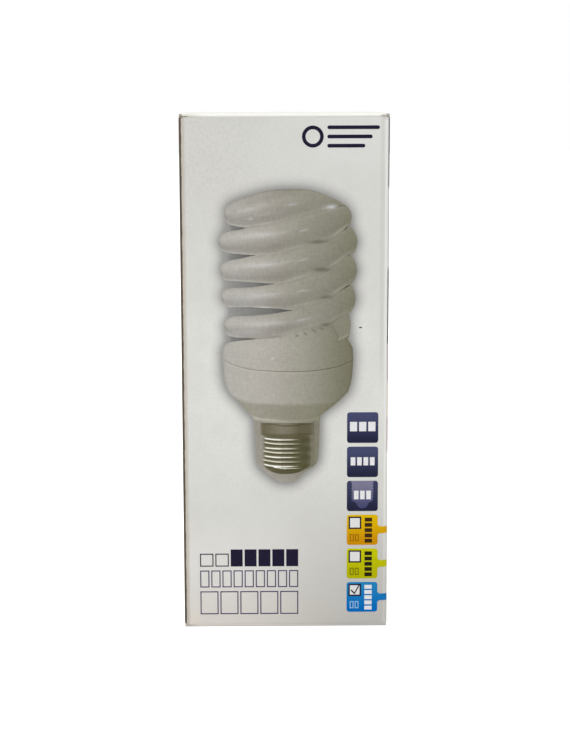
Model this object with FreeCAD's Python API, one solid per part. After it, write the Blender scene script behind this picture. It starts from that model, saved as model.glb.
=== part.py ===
import FreeCAD, Part
import math
import os
from FreeCAD import Vector

os.makedirs("parts", exist_ok=True)

# A retail carton of folded board with a tuck lid at each end, and the spiral lamp
# that it holds. The front panel faces -Y, the base lies on z = 0. All sizes in mm.

# carton board and walls; the carton is cut to the lamp, with this room round and above it
lamp_side_clearance = 1.15
lamp_head_room = 25.3
board = 0.5
corner_radius = 0.9

# lids and their tuck flaps
lid_inset = 0.15
lid_gap = 0.1
tuck_length = 14.0
tuck_side_clearance = 0.9
tuck_clearance = 0.15
tuck_corner_radius = 6.0
tuck_taper = 1.5
lid_fold_radius = 0.8
seat_clearance = 0.05
seat_relief = 0.35

# dust flaps and glue flap
dust_flap_length = 26.5
dust_flap_taper = 3.0
dust_flap_shoulder = 3.0
dust_flap_corner = 4.0
dust_flap_clearance = 0.3
dust_fold_radius = 0.8
glue_flap_width = 12.0
glue_flap_end = 3.0
glue_flap_taper = 4.0
seam_gap = 0.1

# printed fields on the front panel: thickness of the ink skin, then the badges
ink = 0.03
badge_size = 8.8
badge_pitch = 9.88
badge_top = 62.4
badge_right = 2.75
badge_corner = 0.75
stem_width = 2.0
stem_flare = 0.5
tick_box_size = 3.45
tick_box_inset = 0.6
tick_box_drop = 0.6

# printed rows of plain tiles in three lines, from the foot up, and the mark
name_left = 4.6
name_width = 28.0
name_foot = 3.7
large_tile_height = 6.8
small_tile_height = 5.0
solid_tile_height = 5.0
light_tile_height = 3.8
light_tiles_width = 8.2
line_gap = 1.15
tile_gap = 0.55
tile_outline = 0.3
mark_right = 2.8
mark_width = 21.4
mark_drop = 3.2
mark_ring_radius = 3.0
mark_stroke = 1.0
mark_stroke_gap = 1.5

# printed picture of the lamp, drawn at this share of its size
picture_scale = 0.698
picture_x = 0.93
picture_foot = 42.3
picture_level_drop = 3.7
picture_last_level = 0.61
picture_lobe_gap = 1.35
wedge_reach = (6.4, 9.7, 15.1, 19.5, 8.6)
left_lobe_inset = (1.7, 0.0, 0.4, 0.75, 1.45)
right_lobe_inset = (1.6, 0.0, 0.0, 0.3, 1.9)
gap_x = (8.3, 9.7, 10.8, 10.6)
thread_pitch = 3.6

# glass spiral: two arms wound down from a bridge across the top
tube_diameter = 9.2
coil_radius = 22.75
coil_pitch = 22.2
coil_start_angle = 262.0
bridge_turn = 150.0
end_sweep = 53.0
end_drop = 9.0
end_clearance = 0.8
coil_clearance = 0.3
tube_sides = 14
section_step = 12.0
socket_clearance = 0.3

# lamp housing and cover, with this many sides in the round
turned_sides = 48
lamp_height = 118.0
housing_radius = 25.8
housing_wall = 1.5
housing_height = 22.6
cover_height = 10.0
cover_edge_radius = 2.5
cover_wall = 1.4
spigot_depth = 3.0
spigot_clearance = 0.05
ledge_width = 1.8
shoulder_inset = 2.2
shoulder_rise = 11.0
neck_depth = 4.4

# screw cap
thread_radius = 13.2
cap_wall = 0.35
cap_top = 24.4
cap_thread_bottom = 7.0
cap_foot_radius = 10.0
cap_foot = 4.2
contact_radius = 4.8
contact_height = 1.2

# ballast on its board
circuit_thickness = 1.6
part_gap = 0.5
reservoir_radius = 5.0
reservoir_length = 19.0
choke_length = 16.0
choke_width = 5.0
choke_height = 8.5
choke_yoke = 2.2
winding_width = 10.0
toroid_radius = 4.0
toroid_bore = 2.0
toroid_height = 4.0
transistor_width = 3.0
transistor_length = 7.8
transistor_height = 8.0
film_length = 8.0
film_width = 4.0
film_height = 8.0
diode_radius = 1.35
diode_length = 5.0

# heights up the lamp from its contact, and the radius that the carton clears
tube_radius = tube_diameter / 2.0
housing_top = cap_top + housing_height
cover_top = housing_top + cover_height
shoulder_height = cap_top + shoulder_rise
shoulder_radius = housing_radius - shoulder_inset
lamp_radius = max(coil_radius + tube_radius, housing_radius)

# the lamp stands on the lower dust flaps, with the upper ones over it
lamp_base = 2.0 * board + lid_gap
carton_width = 2.0 * (lamp_radius + lamp_side_clearance + board)
carton_depth = carton_width
carton_height = 2.0 * lamp_base + lamp_height + lamp_head_room
half_width = carton_width / 2.0
half_depth = carton_depth / 2.0
mid_plane = Vector(0, 0, carton_height / 2.0)

# the lid hinges in the front crease, on the board's inner face
knuckle_radius = board
hinge_y = -half_depth + knuckle_radius
hinge_z = carton_height - knuckle_radius

dust_top = carton_height - board - lid_gap
wall_top = dust_top - dust_fold_radius
wall_bottom = carton_height - wall_top
swing_radius = carton_depth - 2.0 * board - tuck_clearance
inner_swing = swing_radius - board


def save(shape, node):
    shape.exportStep("parts/" + node + ".step")


def polygon(points):
    return Part.Face(Part.makePolygon(points + [points[0]]))


def box(x0, x1, y0, y1, z0, z1):
    return Part.makeBox(x1 - x0, y1 - y0, z1 - z0, Vector(x0, y0, z0))


def arc(a, b, c):
    return Part.Arc(a, b, c).toShape()


def line(a, b):
    return Part.LineSegment(a, b).toShape()


def closed_solid(faces):
    body = Part.makeSolid(Part.makeShell(faces))
    if body.Volume < 0:
        body.reverse()
    return body


def turned(points, sides=None, x=0.0, y=0.0, foot=None):
    """many-sided turned form; points are (radius, height) from the lamp's foot"""
    count = turned_sides if sides is None else sides
    base = lamp_base if foot is None else foot
    rings = []
    for radius, height in points:
        ring = []
        for j in range(count):
            a = 2.0 * math.pi * j / count
            ring.append(Vector(x + radius * math.cos(a), y + radius * math.sin(a), base + height))
        rings.append(ring)
    faces = []
    for k in range(len(points)):
        m = (k + 1) % len(points)
        low, high = points[k], points[m]
        if low[0] == 0 and high[0] == 0:
            continue
        if low[0] == 0 or high[0] == 0:
            faces.append(polygon(rings[k] if high[0] == 0 else rings[m]))
            continue
        for j in range(count):
            n = (j + 1) % count
            faces.append(polygon([rings[k][j], rings[k][n], rings[m][n], rings[m][j]]))
    return closed_solid(faces)


def end_mirror(shape):
    return shape.mirror(mid_plane, Vector(0, 0, 1))


def rounded_tube(half_x, half_y, radius, z0, z1):
    block = box(-half_x, half_x, -half_y, half_y, z0, z1)
    upright = [e for e in block.Edges if abs(e.Vertexes[0].Z - e.Vertexes[1].Z) > 1.0]
    return block.makeFillet(radius, upright)


def edges_at(shape, x, y):
    found = []
    for e in shape.Edges:
        a = e.Vertexes[0].Point
        b = e.Vertexes[-1].Point
        here = abs(a.x - x) < 0.01 and abs(b.x - x) < 0.01
        if here and abs(a.y - y) < 0.01 and abs(b.y - y) < 0.01:
            found.append(e)
    return found


# carton: four walls, front and back edges, dust flaps, glue flap

def dust_flap():
    """left upper flap, folded in from its wall below the lid"""
    x0 = -half_width
    bend = Vector(x0 + dust_fold_radius, 0, wall_top)
    inner = dust_fold_radius - board
    tip = x0 + dust_flap_length
    diag = math.sqrt(0.5)
    p = [
        Vector(x0, 0, wall_top),
        Vector(bend.x, 0, dust_top),
        Vector(tip, 0, dust_top),
        Vector(tip, 0, dust_top - board),
        Vector(bend.x, 0, dust_top - board),
        Vector(x0 + board, 0, wall_top),
    ]
    outer_mid = bend + Vector(-dust_fold_radius * diag, 0, dust_fold_radius * diag)
    inner_mid = bend + Vector(-inner * diag, 0, inner * diag)
    wire = Part.Wire([
        arc(p[0], outer_mid, p[1]),
        line(p[1], p[2]),
        line(p[2], p[3]),
        line(p[3], p[4]),
        arc(p[4], inner_mid, p[5]),
        line(p[5], p[0]),
    ])
    strip = Part.Face(wire).extrude(Vector(0, carton_depth, 0))
    strip.translate(Vector(0, -half_depth, 0))
    front = hinge_y + knuckle_radius + dust_flap_clearance
    back = hinge_y + inner_swing - dust_flap_clearance
    shoulder = x0 + dust_flap_shoulder
    plan = polygon([
        Vector(x0 - 1, front, 0),
        Vector(shoulder, front, 0),
        Vector(tip, front + dust_flap_taper, 0),
        Vector(tip, back - dust_flap_taper, 0),
        Vector(shoulder, back, 0),
        Vector(x0 - 1, back, 0),
    ]).extrude(Vector(0, 0, carton_height))
    ends = edges_at(plan, tip, front + dust_flap_taper) + edges_at(plan, tip, back - dust_flap_taper)
    plan = plan.makeFillet(dust_flap_corner, ends)
    return strip.common(plan)


def front_edge():
    """top of the front wall with a hollow seat for the lid's crease"""
    y0 = -half_depth
    seat = knuckle_radius + seat_clearance
    rim = hinge_z - seat_relief
    lip = hinge_y - math.sqrt(seat * seat - seat_relief * seat_relief)
    mid_angle = 0.5 * (math.asin(seat_relief / seat) + math.pi / 2.0)
    mid = Vector(0, hinge_y - seat * math.cos(mid_angle), hinge_z - seat * math.sin(mid_angle))
    p = [
        Vector(0, y0, wall_top),
        Vector(0, y0, rim),
        Vector(0, lip, rim),
        Vector(0, hinge_y, hinge_z - seat),
        Vector(0, hinge_y, wall_top),
    ]
    wire = Part.Wire([line(p[0], p[1]), line(p[1], p[2]), arc(p[2], mid, p[3]), line(p[3], p[4]), line(p[4], p[0])])
    reach = half_width - corner_radius
    edge = Part.Face(wire).extrude(Vector(2.0 * reach, 0, 0))
    edge.translate(Vector(-reach, 0, 0))
    return edge


def glue_flap():
    """tongue of the back wall, glued inside the left wall"""
    x0 = -half_width + board
    y1 = half_depth - board
    z0 = wall_bottom + glue_flap_end
    z1 = wall_top - glue_flap_end
    tongue = polygon([
        Vector(x0, y1, z0),
        Vector(x0, y1, z1),
        Vector(x0, y1 - glue_flap_width, z1 - glue_flap_taper),
        Vector(x0, y1 - glue_flap_width, z0 + glue_flap_taper),
    ])
    return tongue.extrude(Vector(board, 0, 0))


outer_tube = rounded_tube(half_width, half_depth, corner_radius, wall_bottom, wall_top)
inner_tube = rounded_tube(half_width - board, half_depth - board, corner_radius - board, 0, carton_height)
sleeve = outer_tube.cut(inner_tube)

# the front corners run up past the dust flaps to the lid's crease, which seats in a groove
rim_height = hinge_z - seat_relief
tall_tube = rounded_tube(half_width, half_depth, corner_radius, carton_height / 2.0, rim_height).cut(inner_tube)
front_corners = tall_tube.common(box(-half_width, half_width, -half_depth, hinge_y + board / 2.0, wall_top - 1.0, rim_height))
groove = Part.makeCylinder(
    knuckle_radius + seat_clearance, carton_width, Vector(-half_width, hinge_y, hinge_z), Vector(1, 0, 0))
front_corners = front_corners.cut(groove)

# the left wall's raw edge meets the back wall in an open seam
raw_edge = box(-half_width, -half_width + board, half_depth - 2.0 * corner_radius, half_depth, wall_bottom, wall_top)
sleeve = sleeve.fuse(raw_edge)
seam_x = -half_width + board
seam = box(seam_x, seam_x + seam_gap, half_depth - board * 0.7, half_depth + 1, 0, carton_height)
sleeve = sleeve.cut(seam)

reach = half_width - corner_radius
back_edge = box(-reach, reach, half_depth - board, half_depth, wall_top, carton_height - tuck_clearance)
left_flap = dust_flap()
right_flap = left_flap.mirror(Vector(0, 0, 0), Vector(1, 0, 0))
upper = [front_edge(), front_corners, back_edge, left_flap, right_flap]
lower = [end_mirror(s) for s in upper]
sleeve = sleeve.fuse(upper + lower + [glue_flap()]).removeSplitter()
save(sleeve, "carton_sleeve")


def lid():
    """lid wall, crease and tuck flap; the flap curves about the hinge"""
    k = knuckle_radius
    half = k * math.sqrt(0.5)
    drop = math.asin(tuck_length / swing_radius)

    def at(y, z):
        return Vector(0, hinge_y + y, hinge_z + z)

    def on(radius, angle):
        return at(radius * math.cos(angle), -radius * math.sin(angle))

    corner = at(math.sqrt(swing_radius ** 2 - k ** 2), k)
    wire = Part.Wire([
        arc(at(0, k), at(-k, 0), at(0, -k)),
        arc(at(0, -k), at(half, -half), at(k, 0)),
        line(at(k, 0), at(inner_swing, 0)),
        arc(at(inner_swing, 0), on(inner_swing, drop / 2), on(inner_swing, drop)),
        line(on(inner_swing, drop), on(swing_radius, drop)),
        arc(on(swing_radius, drop), on(swing_radius, drop / 2), corner),
        line(corner, at(0, k)),
    ])
    half_lid = half_width - lid_inset
    body = Part.Face(wire).extrude(Vector(2.0 * half_lid, 0, 0))
    body.translate(Vector(-half_lid, 0, 0))
    outside = []
    inside = []
    for e in body.Edges:
        a = e.Vertexes[0].Point
        b = e.Vertexes[-1].Point
        if abs(a.x - b.x) < 1.0:
            continue
        if abs(a.y - corner.y) < 0.01 and abs(a.z - corner.z) < 0.01:
            outside.append(e)
        if abs(a.y - hinge_y - inner_swing) < 0.01 and abs(a.z - hinge_z) < 0.01:
            inside.append(e)
    body = body.makeFillet(lid_fold_radius, outside)
    for e in body.Edges:
        a = e.Vertexes[0].Point
        b = e.Vertexes[-1].Point
        long_edge = abs(a.x - b.x) > 1.0
        if long_edge and abs(a.y - hinge_y - inner_swing) < 0.01 and abs(a.z - hinge_z) < 0.01:
            body = body.makeFillet(lid_fold_radius - board, [e])
            break
    # the flap is narrower than the lid, with tapered sides and round corners
    half_flap = half_width - board - tuck_side_clearance
    foot = hinge_z - tuck_length - board
    neck = hinge_z - knuckle_radius - lid_gap
    plan = polygon([
        Vector(-half_width, 0, carton_height + 1),
        Vector(half_width, 0, carton_height + 1),
        Vector(half_width, 0, neck),
        Vector(half_flap, 0, neck),
        Vector(half_flap - tuck_taper, 0, foot),
        Vector(tuck_taper - half_flap, 0, foot),
        Vector(-half_flap, 0, neck),
        Vector(-half_width, 0, neck),
    ]).extrude(Vector(0, carton_depth, 0))
    plan.translate(Vector(0, -half_depth, 0))
    rounded = []
    for e in plan.Edges:
        a = e.Vertexes[0].Point
        b = e.Vertexes[-1].Point
        if abs(a.z - foot) < 0.01 and abs(b.z - foot) < 0.01 and abs(a.x - b.x) < 0.01:
            rounded.append(e)
    plan = plan.makeFillet(tuck_corner_radius, rounded)
    return body.common(plan)


top_lid = lid()
save(top_lid, "top_lid")
save(end_mirror(top_lid), "bottom_lid")


# lamp: glass spiral

coil_top = lamp_height - tube_radius
coil_turn = 360.0 * (coil_top - cover_top - tube_radius - coil_clearance) / coil_pitch
end_turn = coil_turn + end_sweep
inner_radius = housing_radius - cover_wall
end_radius = inner_radius - cover_wall - end_clearance - tube_radius


def coil_point(turn, side):
    """centre of the tube after turning this many degrees down from the bridge"""
    radius = coil_radius
    height = coil_top - coil_pitch * turn / 360.0
    if turn < bridge_turn:
        radius = coil_radius * math.sin(math.pi / 2.0 * math.sqrt(turn / bridge_turn))
    if turn > coil_turn:
        k = (turn - coil_turn) / (end_turn - coil_turn)
        height -= end_drop * k * k
        radius -= (coil_radius - end_radius) * k * k * (3.0 - 2.0 * k)
    angle = math.radians(coil_start_angle - turn + (180.0 if side < 0 else 0.0))
    return Vector(radius * math.cos(angle), radius * math.sin(angle), lamp_base + height)


def tube_loft(points, radius, sides):
    """many-sided tube along straight runs that meet at mitred rings"""
    runs = [(b - a).normalize() for a, b in zip(points, points[1:])]
    across = Vector(0, 0, 1).cross(runs[0]).normalize()
    up = runs[0].cross(across)
    ring = []
    for j in range(sides):
        a = 2.0 * math.pi * (j + 0.5) / sides
        ring.append(points[0] + across * (radius * math.cos(a)) + up * (radius * math.sin(a)))
    faces = [polygon(ring)]
    for i, run in enumerate(runs):
        ahead = runs[min(i + 1, len(runs) - 1)]
        mitre = (run + ahead).normalize()
        reach = run.dot(mitre)
        far = [q + run * ((points[i + 1] - q).dot(mitre) / reach) for q in ring]
        for j in range(sides):
            n = (j + 1) % sides
            faces.append(polygon([ring[j], ring[n], far[n], far[j]]))
        ring = far
    faces.append(polygon(ring))
    return closed_solid(faces)


bridge_steps = 9
end_steps = 5
coil_steps = int(round((coil_turn - bridge_turn) / section_step))
turns = [bridge_turn * (i / bridge_steps) ** 2 for i in range(1, bridge_steps + 1)]
turns += [bridge_turn + (coil_turn - bridge_turn) * i / coil_steps for i in range(1, coil_steps + 1)]
turns += [coil_turn + (end_turn - coil_turn) * i / end_steps for i in range(1, end_steps + 1)]
path = [coil_point(t, -1) for t in reversed(turns)] + [coil_point(0.0, 1)] + [coil_point(t, 1) for t in turns]
save(tube_loft(path, tube_radius, tube_sides), "glass_spiral")

# lamp: cover round the tube ends

spigot_foot = housing_top - spigot_depth
edge = cover_edge_radius
cover_outline = [
    (inner_radius - cover_wall, spigot_foot),
    (inner_radius, spigot_foot),
    (inner_radius, housing_top),
    (housing_radius, housing_top),
]
for i in range(4):
    a = math.radians(30.0 * i)
    cover_outline.append((housing_radius - edge + edge * math.cos(a), cover_top - edge + edge * math.sin(a)))
cover_outline += [
    (0, cover_top),
    (0, cover_top - cover_wall),
    (inner_radius - cover_wall, cover_top - cover_wall),
]
cover = turned(cover_outline)
for side in (-1, 1):
    dive = [coil_point(t, side) for t in turns if t > coil_turn - 3.0 * section_step]
    cover = cover.cut(tube_loft(dive, tube_radius + socket_clearance, tube_sides))
save(cover, "tube_cover")

# lamp: ballast housing, with a ledge for the board and a neck for the cap

bore = inner_radius + spigot_clearance
ledge_top = housing_top - spigot_depth
circuit_z = ledge_top - circuit_thickness
neck_radius = thread_radius - cap_wall - spigot_clearance
w = housing_wall
lip_radius = bore - ledge_width
throat_radius = neck_radius - w
housing = turned([
    (neck_radius, cap_top - neck_depth),
    (neck_radius, cap_top),
    (thread_radius + 1.2, cap_top),
    (thread_radius + 4.2, cap_top + 3.8),
    (shoulder_radius, shoulder_height),
    (housing_radius - 0.3, shoulder_height + 5.6),
    (housing_radius, housing_top),
    (bore, housing_top),
    (bore, circuit_z),
    (lip_radius, circuit_z),
    (shoulder_radius - w, shoulder_height + 0.8),
    (thread_radius + 4.2 - w, cap_top + 4.8),
    (throat_radius, cap_top + 1.4),
    (throat_radius, cap_top - neck_depth),
])
save(housing, "ballast_housing")

# lamp: screw cap

shell = turned([
    (cap_foot_radius, cap_foot),
    (thread_radius, cap_thread_bottom),
    (thread_radius, cap_top),
    (thread_radius - cap_wall, cap_top),
    (thread_radius - cap_wall, cap_thread_bottom + 0.15),
    (cap_foot_radius - cap_wall, cap_foot + 0.15),
    (cap_foot_radius - cap_wall, cap_foot),
])
save(shell, "cap_shell")

insulator = turned([
    (0, contact_height),
    (contact_radius + 0.6, contact_height),
    (cap_foot_radius - cap_wall, cap_foot),
    (cap_foot_radius - cap_wall, cap_foot + 0.15),
    (0, cap_foot + 0.8),
])
save(insulator, "cap_insulator")

contact = turned([
    (0, 0),
    (contact_radius - 1.0, 0),
    (contact_radius, 0.4),
    (contact_radius, contact_height),
    (0, contact_height),
])
save(contact, "cap_contact")

# lamp: ballast parts, hung from the board's underside

under = lamp_base + circuit_z
circuit_radius = bore - 0.1
circuit = turned([(0, 0), (circuit_radius, 0), (circuit_radius, circuit_thickness), (0, circuit_thickness)], foot=under)
save(circuit, "circuit_board")

can = [(0, -reservoir_length), (reservoir_radius, -reservoir_length), (reservoir_radius, 0), (0, 0)]
reservoir = turned(can, 24, foot=under)
save(reservoir, "reservoir_capacitor")

# E-shaped ferrite halves close round the winding, beside the reservoir can
beside = reservoir_radius + part_gap
cx = beside + winding_width / 2.0
core_z0 = under - choke_height
core = box(cx - choke_width / 2, cx + choke_width / 2, -choke_length / 2, choke_length / 2, core_z0, under)
for s in (-1, 1):
    window = sorted((s * choke_yoke / 2, s * (choke_length / 2 - choke_yoke)))
    core = core.cut(box(cx - choke_width, cx + choke_width, *window, core_z0 + choke_yoke, under - choke_yoke))
save(core, "choke_core")

leg = choke_yoke / 2
coil_y = choke_length / 2 - choke_yoke
winding = box(cx - winding_width / 2, cx + winding_width / 2, -coil_y, coil_y, core_z0 + choke_yoke, under - choke_yoke)
winding = winding.cut(box(cx - choke_width / 2, cx + choke_width / 2, -leg, leg, core_z0, under))
save(winding, "choke_winding")

# transistors stand in a row behind the can, with the driver ring at their end
tx = -beside - part_gap - 1.5 - transistor_width
transistors = []
for y in (-4.3, -4.3 + transistor_length + part_gap):
    transistors.append(box(tx, tx + transistor_width, y, y + transistor_length, under - transistor_height, under))
save(Part.makeCompound(transistors), "power_transistors")

ring_y = -4.3 - part_gap - toroid_radius
ring = turned([
    (toroid_bore, -toroid_height),
    (toroid_radius, -toroid_height),
    (toroid_radius, 0),
    (toroid_bore, 0),
], 20, -beside - toroid_radius + 1.0, ring_y, under)
save(ring, "driver_toroid")

films = []
for row in range(2):
    y = -beside - film_width - row * (film_width + part_gap)
    films.append(box(-2.5, film_length - 2.5, y, y + film_width, under - film_height, under))
save(Part.makeCompound(films), "film_capacitors")

diodes = []
stub = [(0, 0), (diode_radius, 0), (diode_radius, diode_length), (0, diode_length)]
for i in range(4):
    diode = turned(stub, 12, foot=0.0)
    diode.rotate(Vector(0, 0, 0), Vector(1, 0, 0), -90)
    diode.translate(Vector((i - 1.7) * (2.0 * diode_radius + 0.3), beside + 3.5, under - diode_radius))
    diodes.append(diode)
save(Part.makeCompound(diodes), "rectifier_diodes")


# print on the front panel: flat fields of colour, each a thin skin

def printed(face):
    """stands a face drawn in x and z on the front panel"""
    skin = face.extrude(Vector(0, -ink, 0))
    skin.translate(Vector(0, -half_depth, 0))
    return skin


def flat(points):
    return polygon([Vector(x, 0, z) for x, z in points])


def joined(solids):
    return solids[0].fuse(solids[1:]).removeSplitter()


def arc_points(cx, cz, radius, start, end, steps):
    points = []
    for i in range(steps + 1):
        a = math.radians(start + (end - start) * i / steps)
        points.append((cx + radius * math.cos(a), cz + radius * math.sin(a)))
    return points


def rounded_field(x0, x1, z0, z1, radius):
    points = arc_points(x1 - radius, z1 - radius, radius, 0, 90, 4)
    points += arc_points(x0 + radius, z1 - radius, radius, 90, 180, 4)
    points += arc_points(x0 + radius, z0 + radius, radius, 180, 270, 4)
    points += arc_points(x1 - radius, z0 + radius, radius, 270, 360, 4)
    return flat(points)


badge_x0 = half_width - badge_right - badge_size
badge_x1 = half_width - badge_right


def badge(row):
    top = badge_top - row * badge_pitch
    return rounded_field(badge_x0, badge_x1, top - badge_size, top, badge_corner)


def stemmed_badge(row):
    """a badge whose stem runs to the panel's right edge"""
    z = badge_top - row * badge_pitch - badge_size / 2.0
    h = stem_width / 2.0
    f = stem_flare
    edge_x = half_width - corner_radius
    root = badge_x1 - 0.3
    stem = flat([
        (root, z - h - f), (badge_x1, z - h - f), (badge_x1 + f, z - h), (edge_x, z - h),
        (edge_x, z + h), (badge_x1 + f, z + h), (badge_x1, z + h + f), (root, z + h + f),
    ])
    return joined([printed(badge(row)), printed(stem)])


def tick_box(row):
    x0 = badge_x0 + tick_box_inset
    top = badge_top - row * badge_pitch - tick_box_drop
    x1 = x0 + tick_box_size
    z0 = top - tick_box_size
    return printed(flat([(x0, z0), (x1, z0), (x1, top), (x0, top)]))


save(Part.makeCompound([printed(badge(row)) for row in range(3)]), "print_power_badges")
boxes = [tick_box(row) for row in range(3, 6)]
for row, node in ((3, "print_orange_badge"), (4, "print_lime_badge"), (5, "print_blue_badge")):
    save(stemmed_badge(row).cut(boxes[row - 3]), node)
save(Part.makeCompound(boxes), "print_tick_boxes")


def tile_row(x, z, width, height, count, outlined):
    """equal plain tiles in place of a line of print"""
    step = (width + tile_gap) / count
    w = tile_outline
    row = []
    for i in range(count):
        x0 = x + i * step
        x1 = x0 + step - tile_gap
        z1 = z + height
        tile = flat([(x0, z), (x1, z), (x1, z1), (x0, z1)])
        if outlined:
            tile = tile.cut(flat([(x0 + w, z + w), (x1 - w, z + w), (x1 - w, z1 - w), (x0 + w, z1 - w)]))
        row.append(printed(tile))
    return row


first_x = name_left - half_width
line_z = name_foot
name_lines = tile_row(first_x, line_z, name_width, large_tile_height, 5, True)
line_z += large_tile_height + line_gap
name_lines += tile_row(first_x, line_z, name_width, small_tile_height, 9, True)
line_z += small_tile_height + line_gap
name_lines += tile_row(first_x, line_z, light_tiles_width, light_tile_height, 2, True)
solid_x = first_x + light_tiles_width + tile_gap
name_lines += tile_row(solid_x, line_z, name_width - light_tiles_width - tile_gap, solid_tile_height, 5, False)

# the mark is a ring with three strokes, up on the right
ring_x = half_width - mark_right - mark_width + mark_ring_radius
ring_z = carton_height - mark_drop - mark_ring_radius
rim = flat(arc_points(ring_x, ring_z, mark_ring_radius, 0, 345, 23))
rim = rim.cut(flat(arc_points(ring_x, ring_z, mark_ring_radius - mark_stroke, 0, 345, 23)))
name_lines.append(printed(rim))
stroke_x = ring_x + mark_ring_radius + mark_stroke
for k in range(3):
    stroke_z = ring_z + (1 - k) * (mark_stroke + mark_stroke_gap) - mark_stroke / 2.0
    stroke_end = half_width - mark_right - 2.0 * k * mark_stroke
    name_lines.append(printed(rounded_field(stroke_x, stroke_end, stroke_z, stroke_z + mark_stroke, mark_stroke * 0.45)))
save(Part.makeCompound(name_lines), "print_name_bars")

# the picture's coil: lobes down both sides under a dome, with shade between the bands
lobe_x = picture_scale * coil_radius
crown = picture_foot + picture_scale * lamp_height
housing_line = picture_foot + picture_scale * cover_top
first_level = crown - picture_scale * tube_radius - picture_level_drop
band_step = (first_level - housing_line) / (4.0 + picture_last_level)
band = (band_step - picture_lobe_gap) / 2.0
levels = [first_level - band_step * k for k in range(5)]
left_lobes = [picture_x - lobe_x + d for d in left_lobe_inset]
right_lobes = [picture_x + lobe_x - d for d in right_lobe_inset]
outline = []
for x, z in zip(left_lobes, levels):
    outline += arc_points(x, z, band, 105 if z == first_level else 90, 270, 8)
outline += [(left_lobes[4], housing_line), (right_lobes[4], housing_line)]
for x, z in reversed(list(zip(right_lobes, levels))):
    outline += arc_points(x, z + 0.4, band_step / 2.0, -90, 60 if z == first_level else 90, 8)
left_end = outline[0]
right_end = outline[-1]
for i in range(1, 12):
    u = i / 12.0
    base_z = right_end[1] + (left_end[1] - right_end[1]) * u
    bulge = (crown - base_z) * math.sin(math.pi * u) ** 0.85
    outline.append((right_end[0] + (left_end[0] - right_end[0]) * u, base_z + bulge))
coil_print = printed(flat(outline))

shades = []
for k in range(5):
    under_z = levels[k] - band
    over_z = levels[k + 1] + band if k < 4 else housing_line
    mouth = left_lobes[k] - 0.4
    tip_x = left_lobes[k] - band + wedge_reach[k]
    tip_z = (under_z + over_z) / 2.0 + 0.05 * wedge_reach[k]
    shades.append(printed(flat([(mouth, over_z + 0.02), (tip_x, tip_z), (mouth, under_z - 0.02)])))
for k in range(4):
    x = picture_x + gap_x[k]
    z = levels[k + 1] + 0.1
    shades.append(printed(flat([(x - 2.8, z - 0.3), (x + 0.4, z - 0.7), (x + 2.8, z + 0.3), (x, z + 0.6)])))
for shade in shades:
    coil_print = coil_print.cut(shade)
save(coil_print, "print_lamp_coil")
save(Part.makeCompound(shades), "print_lamp_shade")

# the picture's housing and cap
half_cover = picture_scale * housing_radius
half_neck = picture_scale * (thread_radius + 0.3)
neck_line = picture_foot + picture_scale * cap_top + 1.2
shape = [
    (half_cover, housing_line),
    (half_cover, picture_foot + picture_scale * (shoulder_height + 5.6)),
    (picture_scale * (shoulder_radius + 1.4), picture_foot + picture_scale * (shoulder_height + 1.6)),
    (picture_scale * 16.6, neck_line + 1.7),
    (half_neck, neck_line),
    (half_neck * 0.5, neck_line - 0.9),
    (0, neck_line - 1.1),
]
both = [(picture_x + x, z) for x, z in shape] + [(picture_x - x, z) for x, z in reversed(shape[:-1])]
save(printed(flat(both)), "print_lamp_housing")

foot_line = picture_foot + picture_scale * 8.0
shape = [
    (0, neck_line - 1.1),
    (half_neck * 0.5, neck_line - 0.9),
    (half_neck, neck_line),
    (half_neck, picture_foot + picture_scale * 11.0),
    (half_neck * 0.9, foot_line),
    (half_neck * 0.6, picture_foot + picture_scale * 3.4),
    (half_neck * 0.45, picture_foot + 0.5),
    (0, picture_foot),
]
both = [(picture_x + x, z) for x, z in shape] + [(picture_x - x, z) for x, z in reversed(shape[1:-1])]
cap_print = printed(flat(both))
core = picture_scale * 10.4
core_foot = picture_foot + picture_scale * 4.0
metal = printed(flat([
    (picture_x - core, neck_line - 1.2), (picture_x, neck_line - 1.9), (picture_x + core, neck_line - 1.2),
    (picture_x + core, core_foot + 2.0), (picture_x + core * 0.6, core_foot + 0.4), (picture_x, core_foot),
    (picture_x - core * 0.6, core_foot + 0.5), (picture_x - core, core_foot + 2.4),
]))
cap_print = cap_print.cut(metal)
for k in range(4):
    z = core_foot + 2.6 + k * picture_scale * thread_pitch
    glint = printed(flat([(picture_x - core + 0.8, z + 0.5), (picture_x + core * 0.4, z - 0.1),
                          (picture_x + core * 0.4, z + 0.3), (picture_x - core + 0.8, z + 1.3)]))
    metal = metal.cut(glint)
save(cap_print, "print_lamp_cap")
save(metal, "print_lamp_thread")
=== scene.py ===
import bpy
import bmesh
import math
from mathutils import Matrix, Vector


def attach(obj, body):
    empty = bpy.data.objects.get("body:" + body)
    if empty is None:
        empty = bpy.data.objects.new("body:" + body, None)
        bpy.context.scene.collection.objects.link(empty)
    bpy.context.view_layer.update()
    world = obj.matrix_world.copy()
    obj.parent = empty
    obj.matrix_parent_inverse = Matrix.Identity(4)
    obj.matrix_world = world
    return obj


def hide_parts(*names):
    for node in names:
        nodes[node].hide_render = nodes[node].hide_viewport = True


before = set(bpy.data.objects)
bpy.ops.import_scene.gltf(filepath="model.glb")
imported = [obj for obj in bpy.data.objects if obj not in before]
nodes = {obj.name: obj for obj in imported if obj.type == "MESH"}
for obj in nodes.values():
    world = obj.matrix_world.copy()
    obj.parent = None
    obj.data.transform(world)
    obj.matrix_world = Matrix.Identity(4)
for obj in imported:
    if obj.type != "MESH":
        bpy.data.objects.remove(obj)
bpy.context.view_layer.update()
mm = 0.001


# Small helpers for materials and meshes

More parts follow.
